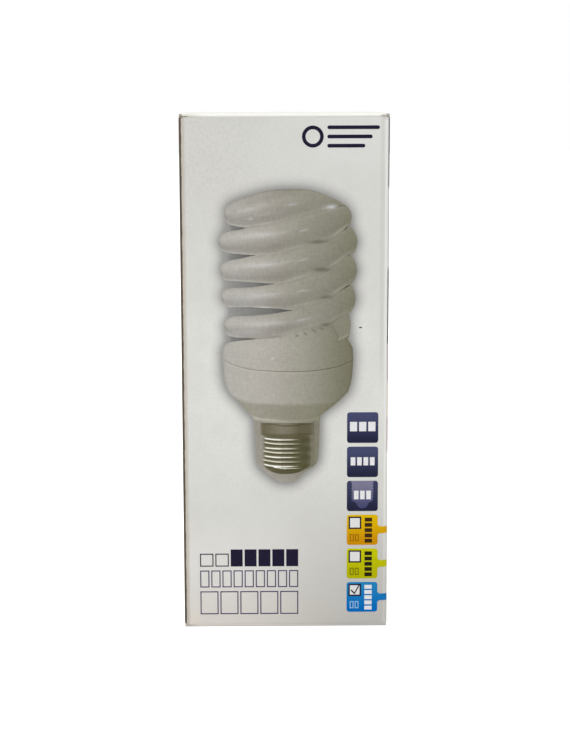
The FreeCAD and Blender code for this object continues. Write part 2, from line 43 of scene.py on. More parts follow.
def tint(red, green, blue):
    # screen values 0-255 to the linear colour that a shader wants
    levels = []
    for level in (red, green, blue):
        level /= 255.0
        levels.append(level / 12.92 if level <= 0.04045 else ((level + 0.055) / 1.055) ** 2.4)
    return (*levels, 1.0)


def rise(value, start, end):
    # 0 before start, 1 after end
    return max(0.0, min(1.0, (value - start) / (end - start)))


def bell(distance, reach):
    return math.exp(-(distance / reach) ** 2)


class Recipe:
    # a material's node tree, with its coordinates in millimetres
    def __init__(self, name, roughness=0.5, metallic=0.0):
        self.material = bpy.data.materials.new(name)
        self.material.use_nodes = True
        self.tree = self.material.node_tree
        self.shader = self.tree.nodes["Principled BSDF"]
        self.shader.inputs["Roughness"].default_value = roughness
        self.shader.inputs["Metallic"].default_value = metallic
        self.place = None

    def link(self, source, socket):
        if isinstance(source, bpy.types.NodeSocket):
            self.tree.links.new(source, socket)
        else:
            socket.default_value = source

    def xyz(self):
        if self.place is None:
            coordinates = self.tree.nodes.new("ShaderNodeTexCoord")
            scale = self.tree.nodes.new("ShaderNodeVectorMath")
            scale.operation = "SCALE"
            self.tree.links.new(coordinates.outputs["Object"], scale.inputs[0])
            scale.inputs["Scale"].default_value = 1000.0
            split = self.tree.nodes.new("ShaderNodeSeparateXYZ")
            self.tree.links.new(scale.outputs[0], split.inputs[0])
            facing = self.tree.nodes.new("ShaderNodeSeparateXYZ")
            self.tree.links.new(coordinates.outputs["Normal"], facing.inputs[0])
            self.place = (scale.outputs[0], split.outputs, facing.outputs)
        return self.place

    def math(self, operation, a, b=0.0):
        node = self.tree.nodes.new("ShaderNodeMath")
        node.operation = operation
        self.link(a, node.inputs[0])
        self.link(b, node.inputs[1])
        return node.outputs[0]

    def ramp(self, value, start, end):
        # 0 before start, 1 after end, smooth between
        node = self.tree.nodes.new("ShaderNodeMapRange")
        node.interpolation_type = "SMOOTHSTEP"
        node.clamp = True
        self.link(value, node.inputs["Value"])
        low, high = min(start, end), max(start, end)
        node.inputs["From Min"].default_value = low
        node.inputs["From Max"].default_value = high
        node.inputs["To Min"].default_value = 0.0 if start < end else 1.0
        node.inputs["To Max"].default_value = 1.0 if start < end else 0.0
        return node.outputs[0]

    def band(self, value, low, high, soft):
        rise = self.ramp(value, low - soft / 2, low + soft / 2)
        fall = self.ramp(value, high + soft / 2, high - soft / 2)
        return self.math("MULTIPLY", rise, fall)

    def mix(self, factor, a, b):
        node = self.tree.nodes.new("ShaderNodeMix")
        node.data_type = "RGBA"
        self.link(factor, node.inputs["Factor"])
        self.link(a, node.inputs[6])
        self.link(b, node.inputs[7])
        return node.outputs[2]

    def product(self, first, *others):
        for other in others:
            first = self.math("MULTIPLY", first, other)
        return first

    def share(self, bound):
        # a bound is a ramp (value, start, end), a band (value, low, high, soft) or a share made before
        if not isinstance(bound, tuple):
            return bound
        return self.ramp(*bound) if len(bound) == 3 else self.band(*bound)

    def patch(self, under, ink, strength, *bounds):
        # ink over the colour beneath, where every bound holds
        shares = [self.share(bound) for bound in bounds]
        if strength != 1.0:
            shares.append(strength)
        return self.mix(self.product(*shares), under, ink)

    def fromCentre(self, x, y):
        return self.math("SQRT", self.math("ADD", self.product(x, x), self.product(y, y)))

    def noise(self, scale, detail=2.0, stretch=None):
        node = self.tree.nodes.new("ShaderNodeTexNoise")
        node.inputs["Scale"].default_value = scale
        node.inputs["Detail"].default_value = detail
        source = self.xyz()[0]
        if stretch:
            mapping = self.tree.nodes.new("ShaderNodeMapping")
            mapping.inputs["Scale"].default_value = stretch
            self.tree.links.new(source, mapping.inputs["Vector"])
            source = mapping.outputs[0]
        self.tree.links.new(source, node.inputs["Vector"])
        return node.outputs["Fac"]

    def bump(self, height, distance, strength=1.0):
        node = self.tree.nodes.new("ShaderNodeBump")
        node.inputs["Distance"].default_value = distance * mm
        node.inputs["Strength"].default_value = strength
        self.tree.links.new(height, node.inputs["Height"])
        self.tree.links.new(node.outputs[0], self.shader.inputs["Normal"])

    def colour(self, source):
        self.link(source, self.shader.inputs["Base Color"])

    def sheen(self, level):
        self.shader.inputs["Specular IOR Level"].default_value = level


def closed(loop):
    # each point with the one after it, round the loop
    return list(zip(loop, loop[1:] + loop[:1]))


def ringFaces(first, second, count):
    # the faces between two rings of as many points
    return [(first + i, second + i, second + n, first + n) for i, n in closed(list(range(count)))]


def stand(name, data):
    # a new object in the scene
    made = bpy.data.objects.new(name, data)
    bpy.context.scene.collection.objects.link(made)
    return made


def weld(mesh, reach, smooth=False):
    # points that touch become one, and every face looks outward
    work = bmesh.new()
    work.from_mesh(mesh)
    bmesh.ops.remove_doubles(work, verts=work.verts, dist=reach)
    bmesh.ops.recalc_face_normals(work, faces=work.faces)
    for face in work.faces:
        face.smooth = smooth and len(face.verts) <= 4
    work.to_mesh(mesh)
    work.free()


def dress(name, material):
    mesh = nodes[name].data
    mesh.materials.clear()
    mesh.materials.append(material)


# The carton board: coated white outside, grey board inside, with painted light and shade over its panel and
# creases, and the wear of its creases and corners

board = {
    "coated": tint(215, 215, 210),
    # painted light: paler round the middle height
    "middle": (tint(223, 223, 218), (44.0, 92.0, 34.0)),
    # faint clouds and a finer grain: ink, strength, noise scale, from and to
    "clouds": ((tint(203, 202, 197), 0.22, 0.1, 0.38, 0.68), (tint(194, 193, 189), 0.18, 1.7, 0.36, 0.72)),
    # painted shade, greyer and rougher at the upper left: reach in height and in x, ink, strength, and its
    # mottle
    "upperLeft": ((106.0, 130.0), (2.0, -20.0)),
    "upperLeftShade": (tint(206, 204, 198), 0.35),
    "mottle": (tint(193, 192, 186), 0.32, 1.1, 0.42, 0.64),
    # ink, strength, reach in height and in x: painted light, paler at the upper right and the lower left
    "corners": (
        (tint(222, 222, 219), 0.55, (126.0, 138.0), (-2.0, 22.0)),
        (tint(224, 222, 218), 0.65, (38.0, 18.0), (12.0, -4.0)),
    ),
    # the same on the front alone: warmer along the foot and in its left corner, and painted shade dark at the
    # lower right
    "frontCorners": (
        (tint(215, 208, 201), 0.6, (18.0, 2.0), None),
        (tint(224, 215, 204), 0.7, (7.0, 1.0), (-22.0, -27.0)),
        (tint(190, 188, 182), 1.0, (52.0, 2.0), (-20.0, 31.0)),
    ),
    "dirt": tint(62, 58, 52),
    "speck": (21.1, 86.45),
    "speckReach": (0.5, 0.23),
    "raw": tint(186, 176, 158),
    "fibre": tint(203, 195, 180),
    "fibreGrain": (2.2, 0.35, 0.7),
    # the left crease: painted shade, a brownish zone and a dark strip, with a wavering border
    "creaseWave": 0.35,
    "leftCreaseShade": (tint(194, 187, 176), (-27.0, -28.0)),
    "leftEdgeShade": (tint(84, 75, 63), (-28.22, -28.42), (-27.0, -27.3)),
    # the right crease: a painted highlight, less so at its foot, and painted shade in a dip of the panel
    # before it
    "rightCreaseHighlight": (tint(228, 228, 224), (27.85, 28.8, 0.3)),
    "highlightFoot": 0.25,
    "highlightReach": (8.0, 52.0),
    "dipShade": (tint(198, 198, 192), 0.45, (26.5, 27.5, 0.6), (66.0, 80.0)),
    # the side panel's print, seen as a fine line: from, to, colour
    "sideLine": ((125.0, 146.0, tint(112, 112, 110)), (103.0, 125.0, tint(204, 204, 202)),
                 (81.5, 103.0, tint(66, 66, 64)), (71.0, 81.5, tint(194, 172, 171)),
                 (61.0, 71.0, tint(224, 212, 190)), (51.0, 61.0, tint(188, 168, 167))),
    "sideReach": ((28.53, 28.63), (-28.9, -28.15, 0.2)),
    "stems": ((27.4, 29.4, tint(214, 160, 4)), (17.52, 19.52, tint(184, 186, 8)),
              (7.64, 9.64, tint(4, 112, 178))),
    "stemReach": ((28.02, 28.08), (-27.2, -27.3)),
    # a bend near the right upper corner: ink, strength, width and reach in x
    "bend": (tint(168, 160, 146), 0.75, (-0.1, 0.1, 0.12), (27.2, 28.3, 0.3)),
    "bendPlace": (27.3, 144.5),
    "bendSlope": -0.65,
    # rubbed corners: ink, reach in x and in height
    "tips": ((tint(150, 146, 138), (27.9, 28.2), (144.35, 144.6)),
             (tint(118, 108, 96), (-27.9, -28.2), (144.2, 144.5))),
    "height": 145.5,
    "roughness": 0.5,
    "sheen": 0.12,
    "relief": 0.006,
}


def clouded(recipe, under, cloud, *bounds):
    ink, strength, scale, start, end = cloud
    return recipe.patch(under, ink, strength, (recipe.noise(scale, 3.0), start, end), *bounds)


def coatedBoard(recipe):
    # the printed side's colour, as it lies on the front panel, with painted light and shade over it
    x, y, z = recipe.xyz()[1]
    front = recipe.ramp(y, -28.0, -28.6)
    # painted light: paler round the middle height
    middle, reach = board["middle"]
    base = recipe.patch(board["coated"], middle, 1.0, (z, *reach))
    for cloud in board["clouds"]:
        base = clouded(recipe, base, cloud)
    # painted shade at the upper left, with a mottled grain over it
    height, across = board["upperLeft"]
    upperLeft = recipe.product(recipe.ramp(z, *height), recipe.ramp(x, *across))
    base = recipe.patch(base, *board["upperLeftShade"], upperLeft)
    base = clouded(recipe, base, board["mottle"], upperLeft)
    # painted light: paler at the upper right and the lower left
    for ink, strength, height, across in board["corners"]:
        base = recipe.patch(base, ink, strength, (z, *height), (x, *across))
    # on the front: warmer foot and left corner, and painted shade at the lower right
    for ink, strength, height, across in board["frontCorners"]:
        bounds = [(z, *height)] + ([(x, *across)] if across else [])
        base = recipe.patch(base, ink, strength, *bounds, front)
    # one speck of dirt
    across, along = [recipe.math("DIVIDE", recipe.math("SUBTRACT", value, centre), reach)
                     for value, centre, reach in zip((x, z), board["speck"], board["speckReach"])]
    apart = recipe.math("ADD", recipe.product(across, across), recipe.product(along, along))
    return recipe.patch(base, board["dirt"], 1.0, (apart, 1.4, 0.2), front)


def outwardShare(recipe, z, facingZ):
    # above 0 where a face looks out of the nearer end of the carton, with the height over its middle
    middle = recipe.math("SUBTRACT", z, board["height"] / 2)
    return recipe.product(recipe.math("SIGN", middle), facingZ), recipe.math("ABSOLUTE", middle)


def boardFinish(recipe, colour):
    recipe.colour(colour)
    recipe.bump(recipe.noise(1.6, 3.0), board["relief"])
    recipe.sheen(board["sheen"])
    return recipe.material


def creases(recipe, colour, front):
    x, y, z = recipe.xyz()[1]
    # rounded left crease: painted shade, a brownish zone, then a dark strip
    wave = recipe.math("SUBTRACT", recipe.noise(0.35, 2.0), 0.5)
    wavyX = recipe.math("ADD", x, recipe.product(wave, board["creaseWave"]))
    ink, across = board["leftCreaseShade"]
    colour = recipe.patch(colour, ink, 1.0, (wavyX, *across), front)
    ink, across, depth = board["leftEdgeShade"]
    colour = recipe.patch(colour, ink, 1.0, (wavyX, *across), (y, *depth))
    # rounded right crease: a painted highlight, with the side's print as a fine line
    foot = board["highlightFoot"]
    highlightShare = recipe.math("ADD", foot, recipe.product(recipe.ramp(z, *board["highlightReach"]), 1.0 - foot))
    ink, across = board["rightCreaseHighlight"]
    colour = recipe.patch(colour, ink, 1.0, (x, *across), front, highlightShare)
    across, depth = board["sideReach"]
    line = recipe.product(recipe.ramp(x, *across), recipe.band(y, *depth))
    for low, high, ink in board["sideLine"]:
        colour = recipe.patch(colour, ink, 1.0, line, (z, low, high, 2.0))
    # painted shade in a dip of the panel before the right crease
    ink, strength, across, height = board["dipShade"]
    colour = recipe.patch(colour, ink, strength, (x, *across), (z, *height), front)
    # the stems of the coloured badges run on round the crease
    across, depth = board["stemReach"]
    over = recipe.product(recipe.ramp(x, *across), recipe.ramp(y, *depth))
    for low, high, ink in board["stems"]:
        colour = recipe.patch(colour, ink, 1.0, over, (z, low, high, 0.12))
    return colour


def wornCorners(recipe, colour, front):
    # a bend in the board near the right upper corner, and rubbed corners
    x, y, z = recipe.xyz()[1]
    bendX, bendZ = board["bendPlace"]
    bend = recipe.math("ADD", bendZ, recipe.product(recipe.math("SUBTRACT", x, bendX), board["bendSlope"]))
    ink, strength, width, across = board["bend"]
    apart = recipe.math("SUBTRACT", z, bend)
    colour = recipe.patch(colour, ink, strength, (apart, *width), (x, *across), front)
    for ink, across, height in board["tips"]:
        colour = recipe.patch(colour, ink, 1.0, (x, *across), (z, *height), front)
    return colour


def innerSide(recipe, colour):
    # grey board inside, but not on the outer side of the dust flaps
    (x, y, z), facing = recipe.xyz()[1:]
    reach = recipe.math("MAXIMUM", recipe.math("ABSOLUTE", x), recipe.math("ABSOLUTE", y))
    outward, height = outwardShare(recipe, z, facing[2])
    flapTop = recipe.product(recipe.ramp(outward, 0.2, 0.5), recipe.ramp(height, 71.0, 71.4))
    scale, start, end = board["fibreGrain"]
    fibres = recipe.patch(board["raw"], board["fibre"], 1.0, (recipe.noise(scale, 4.0), start, end))
    return recipe.patch(colour, fibres, 1.0, (reach, 28.64, 28.56), recipe.math("SUBTRACT", 1.0, flapTop))


def boardMaterial():
    recipe = Recipe("cartonBoard", board["roughness"])
    y = recipe.xyz()[1][1]
    front = recipe.ramp(y, -27.6, -28.0)
    colour = creases(recipe, coatedBoard(recipe), front)
    return boardFinish(recipe, innerSide(recipe, wornCorners(recipe, colour, front)))


lid = {
    # painted light: the outer face and the upper crease in a paler white than the panel's board, as lit from
    # above
    "outside": tint(238, 238, 231),
    # painted shade on the lower crease, in the panel's tones and darker to the right: the left corner's ink,
    # then each next ink and its reach in x
    "foot": tint(194, 186, 175),
    "footRun": ((tint(220, 214, 208), (-28.5, -24.5)), (tint(196, 193, 188), (-14.0, 24.0))),
    # a darker line at its foot, and how high the crease reaches
    "footLine": (tint(168, 162, 154), 0.45, (0.35, 0.1)),
    "footTop": (3.0, 2.0),
    # where the upper crease starts
    "upperFrom": (143.0, 144.0),
    # spots at the upper crease: ink, reach in x, and height where it is a crack; the first and the fourth dim
    # its painted highlight towards the ends, the others are rubbed tips and cracks
    "spots": (
        (tint(216, 215, 204), (-21.0, -27.0), None),
        (tint(158, 150, 138), (-27.8, -28.2), None),
        (tint(136, 128, 116), (-28.3, -26.6, 0.5), (144.72, 144.95, 0.12)),
        (tint(222, 220, 213), (25.4, 27.6), None),
        (tint(150, 134, 112), (26.7, 27.9, 0.5), (144.85, 145.1, 0.15)),
        (tint(160, 156, 148), (27.8, 28.2), None),
    ),
}


def lidMaterial():
    recipe = Recipe("lidBoard", board["roughness"])
    (x, y, z), facing = recipe.xyz()[1:]
    outward = outwardShare(recipe, z, facing[2])[0]
    outer = recipe.math("MAXIMUM", recipe.ramp(outward, 0.05, 0.3), recipe.ramp(facing[1], 0.05, 0.3))
    crease = recipe.ramp(y, -28.35, -28.5)
    outer = recipe.math("MAXIMUM", outer, crease)
    # painted light: the outer face and the upper crease in the lid's paler white
    colour = recipe.mix(outer, board["raw"], lid["outside"])
    # painted shade on the lower crease, darker to the right
    tone = lid["foot"]
    for ink, across in lid["footRun"]:
        tone = recipe.patch(tone, ink, 1.0, (x, *across))
    ink, strength, height = lid["footLine"]
    tone = recipe.patch(tone, ink, strength, (z, *height))
    colour = recipe.patch(colour, tone, 1.0, (z, *lid["footTop"]), crease, outer)
    # the upper crease: its painted highlight dimmed towards the ends, then rubbed tips and cracks
    upper = recipe.product(recipe.ramp(z, *lid["upperFrom"]), crease, outer)
    for ink, reach, height in lid["spots"]:
        bounds = [(x, *reach)] + ([(z, *height)] if height else [])
        colour = recipe.patch(colour, ink, 1.0, upper, *bounds)
    return boardFinish(recipe, colour)


dress("carton_sleeve", boardMaterial())
lidBoard = lidMaterial()
dress("top_lid", lidBoard)
dress("bottom_lid", lidBoard)
print("carton board done")


# Flat print: every field is a thin closed plate on the front panel

panel = {
    "y": -29.0,
    "skin": 0.03,       # thickness of the CAD print
    "lift": 0.012,      # one layer of ink on another
    "lap": 0.004,       # how far a layer sinks into the one beneath
}


def plateMesh(name, fields, low, high):
    # each field is a loop of (x, z) points, in millimetres, run anticlockwise as seen from the front
    points, faces = [], []
    for loop in fields:
        area = sum(a[0] * b[1] - b[0] * a[1] for a, b in closed(loop))
        if area < 0:
            loop = loop[::-1]
        base, count = len(points), len(loop)
        points += [(x * mm, (panel["y"] - high) * mm, z * mm) for x, z in loop]
        points += [(x * mm, (panel["y"] - low) * mm, z * mm) for x, z in loop]
        faces.append([base + i for i in range(count)])
        faces.append([base + count + i for i in reversed(range(count))])
        faces += ringFaces(base, base + count, count)
    mesh = bpy.data.meshes.new(name)
    mesh.from_pydata(points, [], faces)
    mesh.update()
    return mesh


def onCarton(name, mesh, slot, *replaced):
    # an object that rides with the carton, and stands for the CAD nodes named last
    piece = stand(name, mesh)
    if replaced:
        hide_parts(*replaced)
    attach(piece, "carton")
    return piece


def inkPlate(name, fields, low, high, material, slot):
    mesh = plateMesh(name, fields, low, high)
    mesh.materials.append(material)
    return onCarton(name, mesh, slot)


def frameFields(x0, x1, z0, z1, width):
    # four bars round a rectangle
    bars = ((x0, x1, z0, z0 + width), (x0, x1, z1 - width, z1),
            (x0, x0 + width, z0 + width, z1 - width), (x1 - width, x1, z0 + width, z1 - width))
    return [[(a, c), (b, c), (b, d), (a, d)] for a, b, c, d in bars]


# Geometry Nodes trees, baked to plain meshes

def treeOf(name, inputs):
    tree = bpy.data.node_groups.new(name, "GeometryNodeTree")
    for socket, kind in inputs:
        tree.interface.new_socket(socket, in_out="INPUT", socket_type=kind)
    tree.interface.new_socket("Geometry", in_out="OUTPUT", socket_type="NodeSocketGeometry")
    return tree, tree.nodes.new("NodeGroupInput").outputs, tree.nodes.new("NodeGroupOutput").inputs


def linkAll(tree, *links):
    for source, socket in links:
        tree.links.new(source, socket)


def finishTree(tree, shape, ink, end):
    realize = tree.nodes.new("GeometryNodeRealizeInstances")
    coat = tree.nodes.new("GeometryNodeSetMaterial")
    linkAll(tree, (shape, realize.inputs[0]), (realize.outputs[0], coat.inputs["Geometry"]),
            (ink, coat.inputs["Material"]), (coat.outputs[0], end["Geometry"]))


def grow(name, mesh, tree, values):
    # run the tree on the mesh, and keep the plain result
    seed = stand(name + "Seed", mesh)
    modifier = seed.modifiers.new("grow", "NODES")
    modifier.node_group = tree
    for item in tree.interface.items_tree:
        if item.in_out == "INPUT" and item.name in values:
            modifier[item.identifier] = values[item.name]
    graph = bpy.context.evaluated_depsgraph_get()
    plain = bpy.data.meshes.new_from_object(seed.evaluated_get(graph))
    seed.modifiers.clear()
    bpy.data.objects.remove(seed)
    return stand(name, plain)


def tileTree():
    # equal tiles along a line
    tree, start, end = treeOf("tileRow", (
        ("Geometry", "NodeSocketGeometry"), ("Count", "NodeSocketInt"), ("First", "NodeSocketVector"),
        ("Step", "NodeSocketVector"), ("Tile Size", "NodeSocketVector"), ("Ink", "NodeSocketMaterial")))
    row = tree.nodes.new("GeometryNodeMeshLine")
    tile = tree.nodes.new("GeometryNodeMeshCube")
    spread = tree.nodes.new("GeometryNodeInstanceOnPoints")
    linkAll(tree, (start["Count"], row.inputs["Count"]), (start["First"], row.inputs["Start Location"]),
            (start["Step"], row.inputs["Offset"]), (start["Tile Size"], tile.inputs["Size"]),
            (row.outputs[0], spread.inputs["Points"]), (tile.outputs[0], spread.inputs["Instance"]))
    finishTree(tree, spread.outputs[0], start["Ink"], end)
    return tree


tileRowTree = tileTree()


def tileRow(name, box, count, gap, low, high, ink, slot, upright=False):
    # a row, or an upright column, of tiles that fills the box (x0, x1, z0, z1)
    x0, x1, z0, z1 = box
    length = (z1 - z0) if upright else (x1 - x0)
    step = (length + gap) / count
    wide, tall = (x1 - x0, step - gap) if upright else (step - gap, z1 - z0)
    deep = high - low
    values = {
        "Count": count,
        "First": Vector((x0 + wide / 2, panel["y"] - low - deep / 2, z0 + tall / 2)) * mm,
        "Step": Vector((0, 0, step) if upright else (step, 0, 0)) * mm,
        "Tile Size": Vector((wide, deep, tall)) * mm,
        "Ink": ink,
    }
    row = grow(name, bpy.data.meshes.new(name), tileRowTree, values)
    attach(row, "carton")
    return row


# Printed badges, tick boxes and tile rows

badges = {
    "top": 62.4,
    "pitch": 9.88,
    "size": 8.8,
    "left": 17.45,
    "navy": (tint(71, 75, 108), tint(34, 36, 60)),
    "orange": (tint(220, 182, 4), tint(200, 138, 2)),
    "lime": (tint(194, 196, 4), tint(178, 176, 2)),
    "blue": (tint(32, 130, 188), tint(0, 106, 186)),
    "boxInset": 0.6,
    "boxDrop": 0.6,
    "boxSize": 3.45,
    "boxOutline": 0.42,
    "boxLap": 0.08,         # how far the outline reaches past its box
    "whiteInk": tint(228, 228, 230),
    "darkInk": tint(38, 30, 44),
    "boxInk": tint(224, 224, 223),
    "capInk": (tint(124, 123, 147), tint(70, 72, 110)),
    # half of the third badge's screw cap: its side, its waves, and the points of its foot
    "capHeight": 8.0,
    "capSide": (25.0, 24.85, 0.16),
    "capWaves": (13, 0.5, 0.42),
    "capFoot": ((24.3, 6.0), (23.6, 6.45), (23.3, 7.2), (22.7, 7.75), (22.1, 7.95)),
    # white tiles on the navy badges: left, right, drop to the top and the foot, count, gap
    "navyTiles": ((18.25, 25.45, 2.75, 5.45, 3, 0.55), (18.5, 25.25, 3.05, 5.4, 4, 0.5),
                  (19.45, 24.25, 2.85, 5.35, 3, 0.45)),
    "tick": ((18.55, 10.55), (18.85, 10.8), (19.7, 9.95), (20.85, 12.15), (21.15, 12.0), (19.75, 9.35)),
    "column": (22.55, 24.65, 0.85, 8.15, 5, 0.42),
    "cornerTiles": (18.35, 19.78),
    "cornerSize": (1.1, 5.65, 7.75, 0.26),
}

inks = {
    "roughness": 0.55,
    "sheen": 0.04,
    "relief": 0.004,
    # how strongly the weave of the photographed print shows
    "weave": 0.14,
    "flatWeave": 0.1,
    "pictureWeave": 0.22,
    "weaveStretch": ((0.5, 1.0, 1.9), (1.9, 1.0, 0.5)),
    # the tile rows turn from the lower ones' tone to the upper ones' over these heights
    "tileTones": (tint(74, 60, 96), tint(32, 28, 50)),
    "tileBorder": (17.0, 17.6),
}


def printGrain(recipe, strength):
    # the fine weave that the photographed print shows, as a factor round 1
    across, upright = [recipe.noise(1.0, 2.0, stretch) for stretch in inks["weaveStretch"]]
    weave = recipe.math("ADD", recipe.math("ADD", across, upright), recipe.noise(1.5, 3.0))
    return recipe.math("ADD", recipe.product(recipe.math("SUBTRACT", weave, 1.5), strength), 1.0)


def inkMaterial(recipe, colour, weave=inks["weave"]):
    shade = recipe.tree.nodes.new("ShaderNodeVectorMath")
    shade.operation = "SCALE"
    recipe.link(colour if isinstance(colour, bpy.types.NodeSocket) else colour[:3], shade.inputs[0])
    recipe.link(printGrain(recipe, weave), shade.inputs["Scale"])
    recipe.colour(shade.outputs[0])
    recipe.bump(recipe.noise(2.4, 2.0), inks["relief"])
    recipe.sheen(inks["sheen"])
    return recipe.material


def flatInk(name, colour):
    return inkMaterial(Recipe(name, inks["roughness"]), colour, inks["flatWeave"])


def rampInk(name, axis, start, end, first, last):
    # one tone that turns into another along x, y or z
    recipe = Recipe(name, inks["roughness"])
    return inkMaterial(recipe, recipe.mix(recipe.ramp(recipe.xyz()[1][axis], start, end), first, last))


def fadingInk(name, upper, lower):
    # one ink that darkens down each badge
    recipe = Recipe(name, inks["roughness"])
    z = recipe.xyz()[1][2]
    down = recipe.math("SUBTRACT", badges["top"], z)
    turn = recipe.math("FRACT", recipe.math("DIVIDE", down, badges["pitch"]))
    share = recipe.ramp(recipe.product(turn, badges["pitch"] / badges["size"]), 0.0, 1.0)
    fading = recipe.mix(share, upper, lower)
    # the lowest navy badge is a little darker than the two above
    return inkMaterial(recipe, recipe.patch(fading, lower, 0.4, (z, 33.0, 43.0, 1.0)))


def badgeTop(row):
    return badges["top"] - row * badges["pitch"]


def capBadge(low, high):
    # screw cap in the third badge: thread waves down both sides, then the tapered foot
    top = badgeTop(2) - 0.02
    edge, middle, swing = badges["capSide"]
    count, first, step = badges["capWaves"]
    right = [(edge, top)]
    right += [(middle + swing * math.cos(i * math.pi), top - first - i * step) for i in range(count)]
    right += [(x, top - drop) for x, drop in badges["capFoot"]]
    centre = badges["left"] + badges["size"] / 2
    outline = right + [(2 * centre - x, z) for x, z in reversed(right)]
    ink = rampInk("capBadgeInk", 2, top, top - badges["capHeight"], *badges["capInk"])
    inkPlate("capBadgePrint", [outline], low, high, ink, "ink_navy")


def badgeDetails():
    low = panel["skin"] - panel["lap"]
    high = panel["skin"] + panel["lift"]
    white = flatInk("whiteTileInk", badges["whiteInk"])
    dark = flatInk("darkTileInk", badges["darkInk"])
    capBadge(low, high)

    # a row of white tiles on each navy badge, over the screw cap on the third
    for row, name in enumerate(("first", "second", "third")):
        x0, x1, drop, foot, count, gap = badges["navyTiles"][row]
        layer = (low, high) if row < 2 else (high - panel["lap"], high + panel["lift"])
        box = (x0, x1, badgeTop(row) - foot, badgeTop(row) - drop)
        tileRow(name + "BadgeTiles", box, count, gap, *layer, white, "ink_white")

    # tick boxes get their dark outline, and the last one its tick
    frames = []
    lap, size = badges["boxLap"], badges["boxSize"]
    for row in (3, 4, 5):
        x0 = badges["left"] + badges["boxInset"]
        z1 = badgeTop(row) - badges["boxDrop"]
        frames += frameFields(x0 - lap, x0 + size + lap, z1 - size - lap, z1 + lap, badges["boxOutline"])
    inkPlate("tickBoxOutlines", frames, low, high, dark, "ink_violet")
    inkPlate("tickMark", [list(badges["tick"])], low, high, dark, "ink_violet")

    # an upright column of tiles and two small outlined ones on each coloured badge
    umber = flatInk("umberTileInk", tint(58, 40, 18))
    black = flatInk("blackTileInk", tint(34, 32, 14))
    x0, x1, drop, foot, count, gap = badges["column"]
    wide, cornerDrop, cornerFoot, line = badges["cornerSize"]
    for row, name, ink, slot, faint in ((3, "orange", umber, "ink_violet", tint(150, 98, 12)),
                                        (4, "lime", black, "ink_violet", tint(112, 108, 12)),
                                        (5, "blue", white, "ink_white", tint(150, 190, 222))):
        top = badgeTop(row)
        box = (x0, x1, top - foot, top - drop)
        tileRow(name + "BadgeColumn", box, count, gap, low, high, ink, slot, True)
        outlines = []
        for left in badges["cornerTiles"]:
            outlines += frameFields(left, left + wide, top - cornerFoot, top - cornerDrop, line)
        inkPlate(name + "CornerTiles", outlines, low, high, flatInk(name + "CornerInk", faint), slot)


dress("print_power_badges", fadingInk("navyInk", *badges["navy"]))
dress("print_orange_badge", fadingInk("orangeInk", *badges["orange"]))
dress("print_lime_badge", fadingInk("limeInk", *badges["lime"]))
dress("print_blue_badge", fadingInk("blueInk", *badges["blue"]))
dress("print_tick_boxes", flatInk("tickBoxWhite", badges["boxInk"]))
dress("print_name_bars", rampInk("tileInk", 2, *inks["tileBorder"], *inks["tileTones"]))
badgeDetails()
print("badges and tiles done")


# The printed picture of the lamp: bands of the coil, housing and cap, shaded by rule in the ink

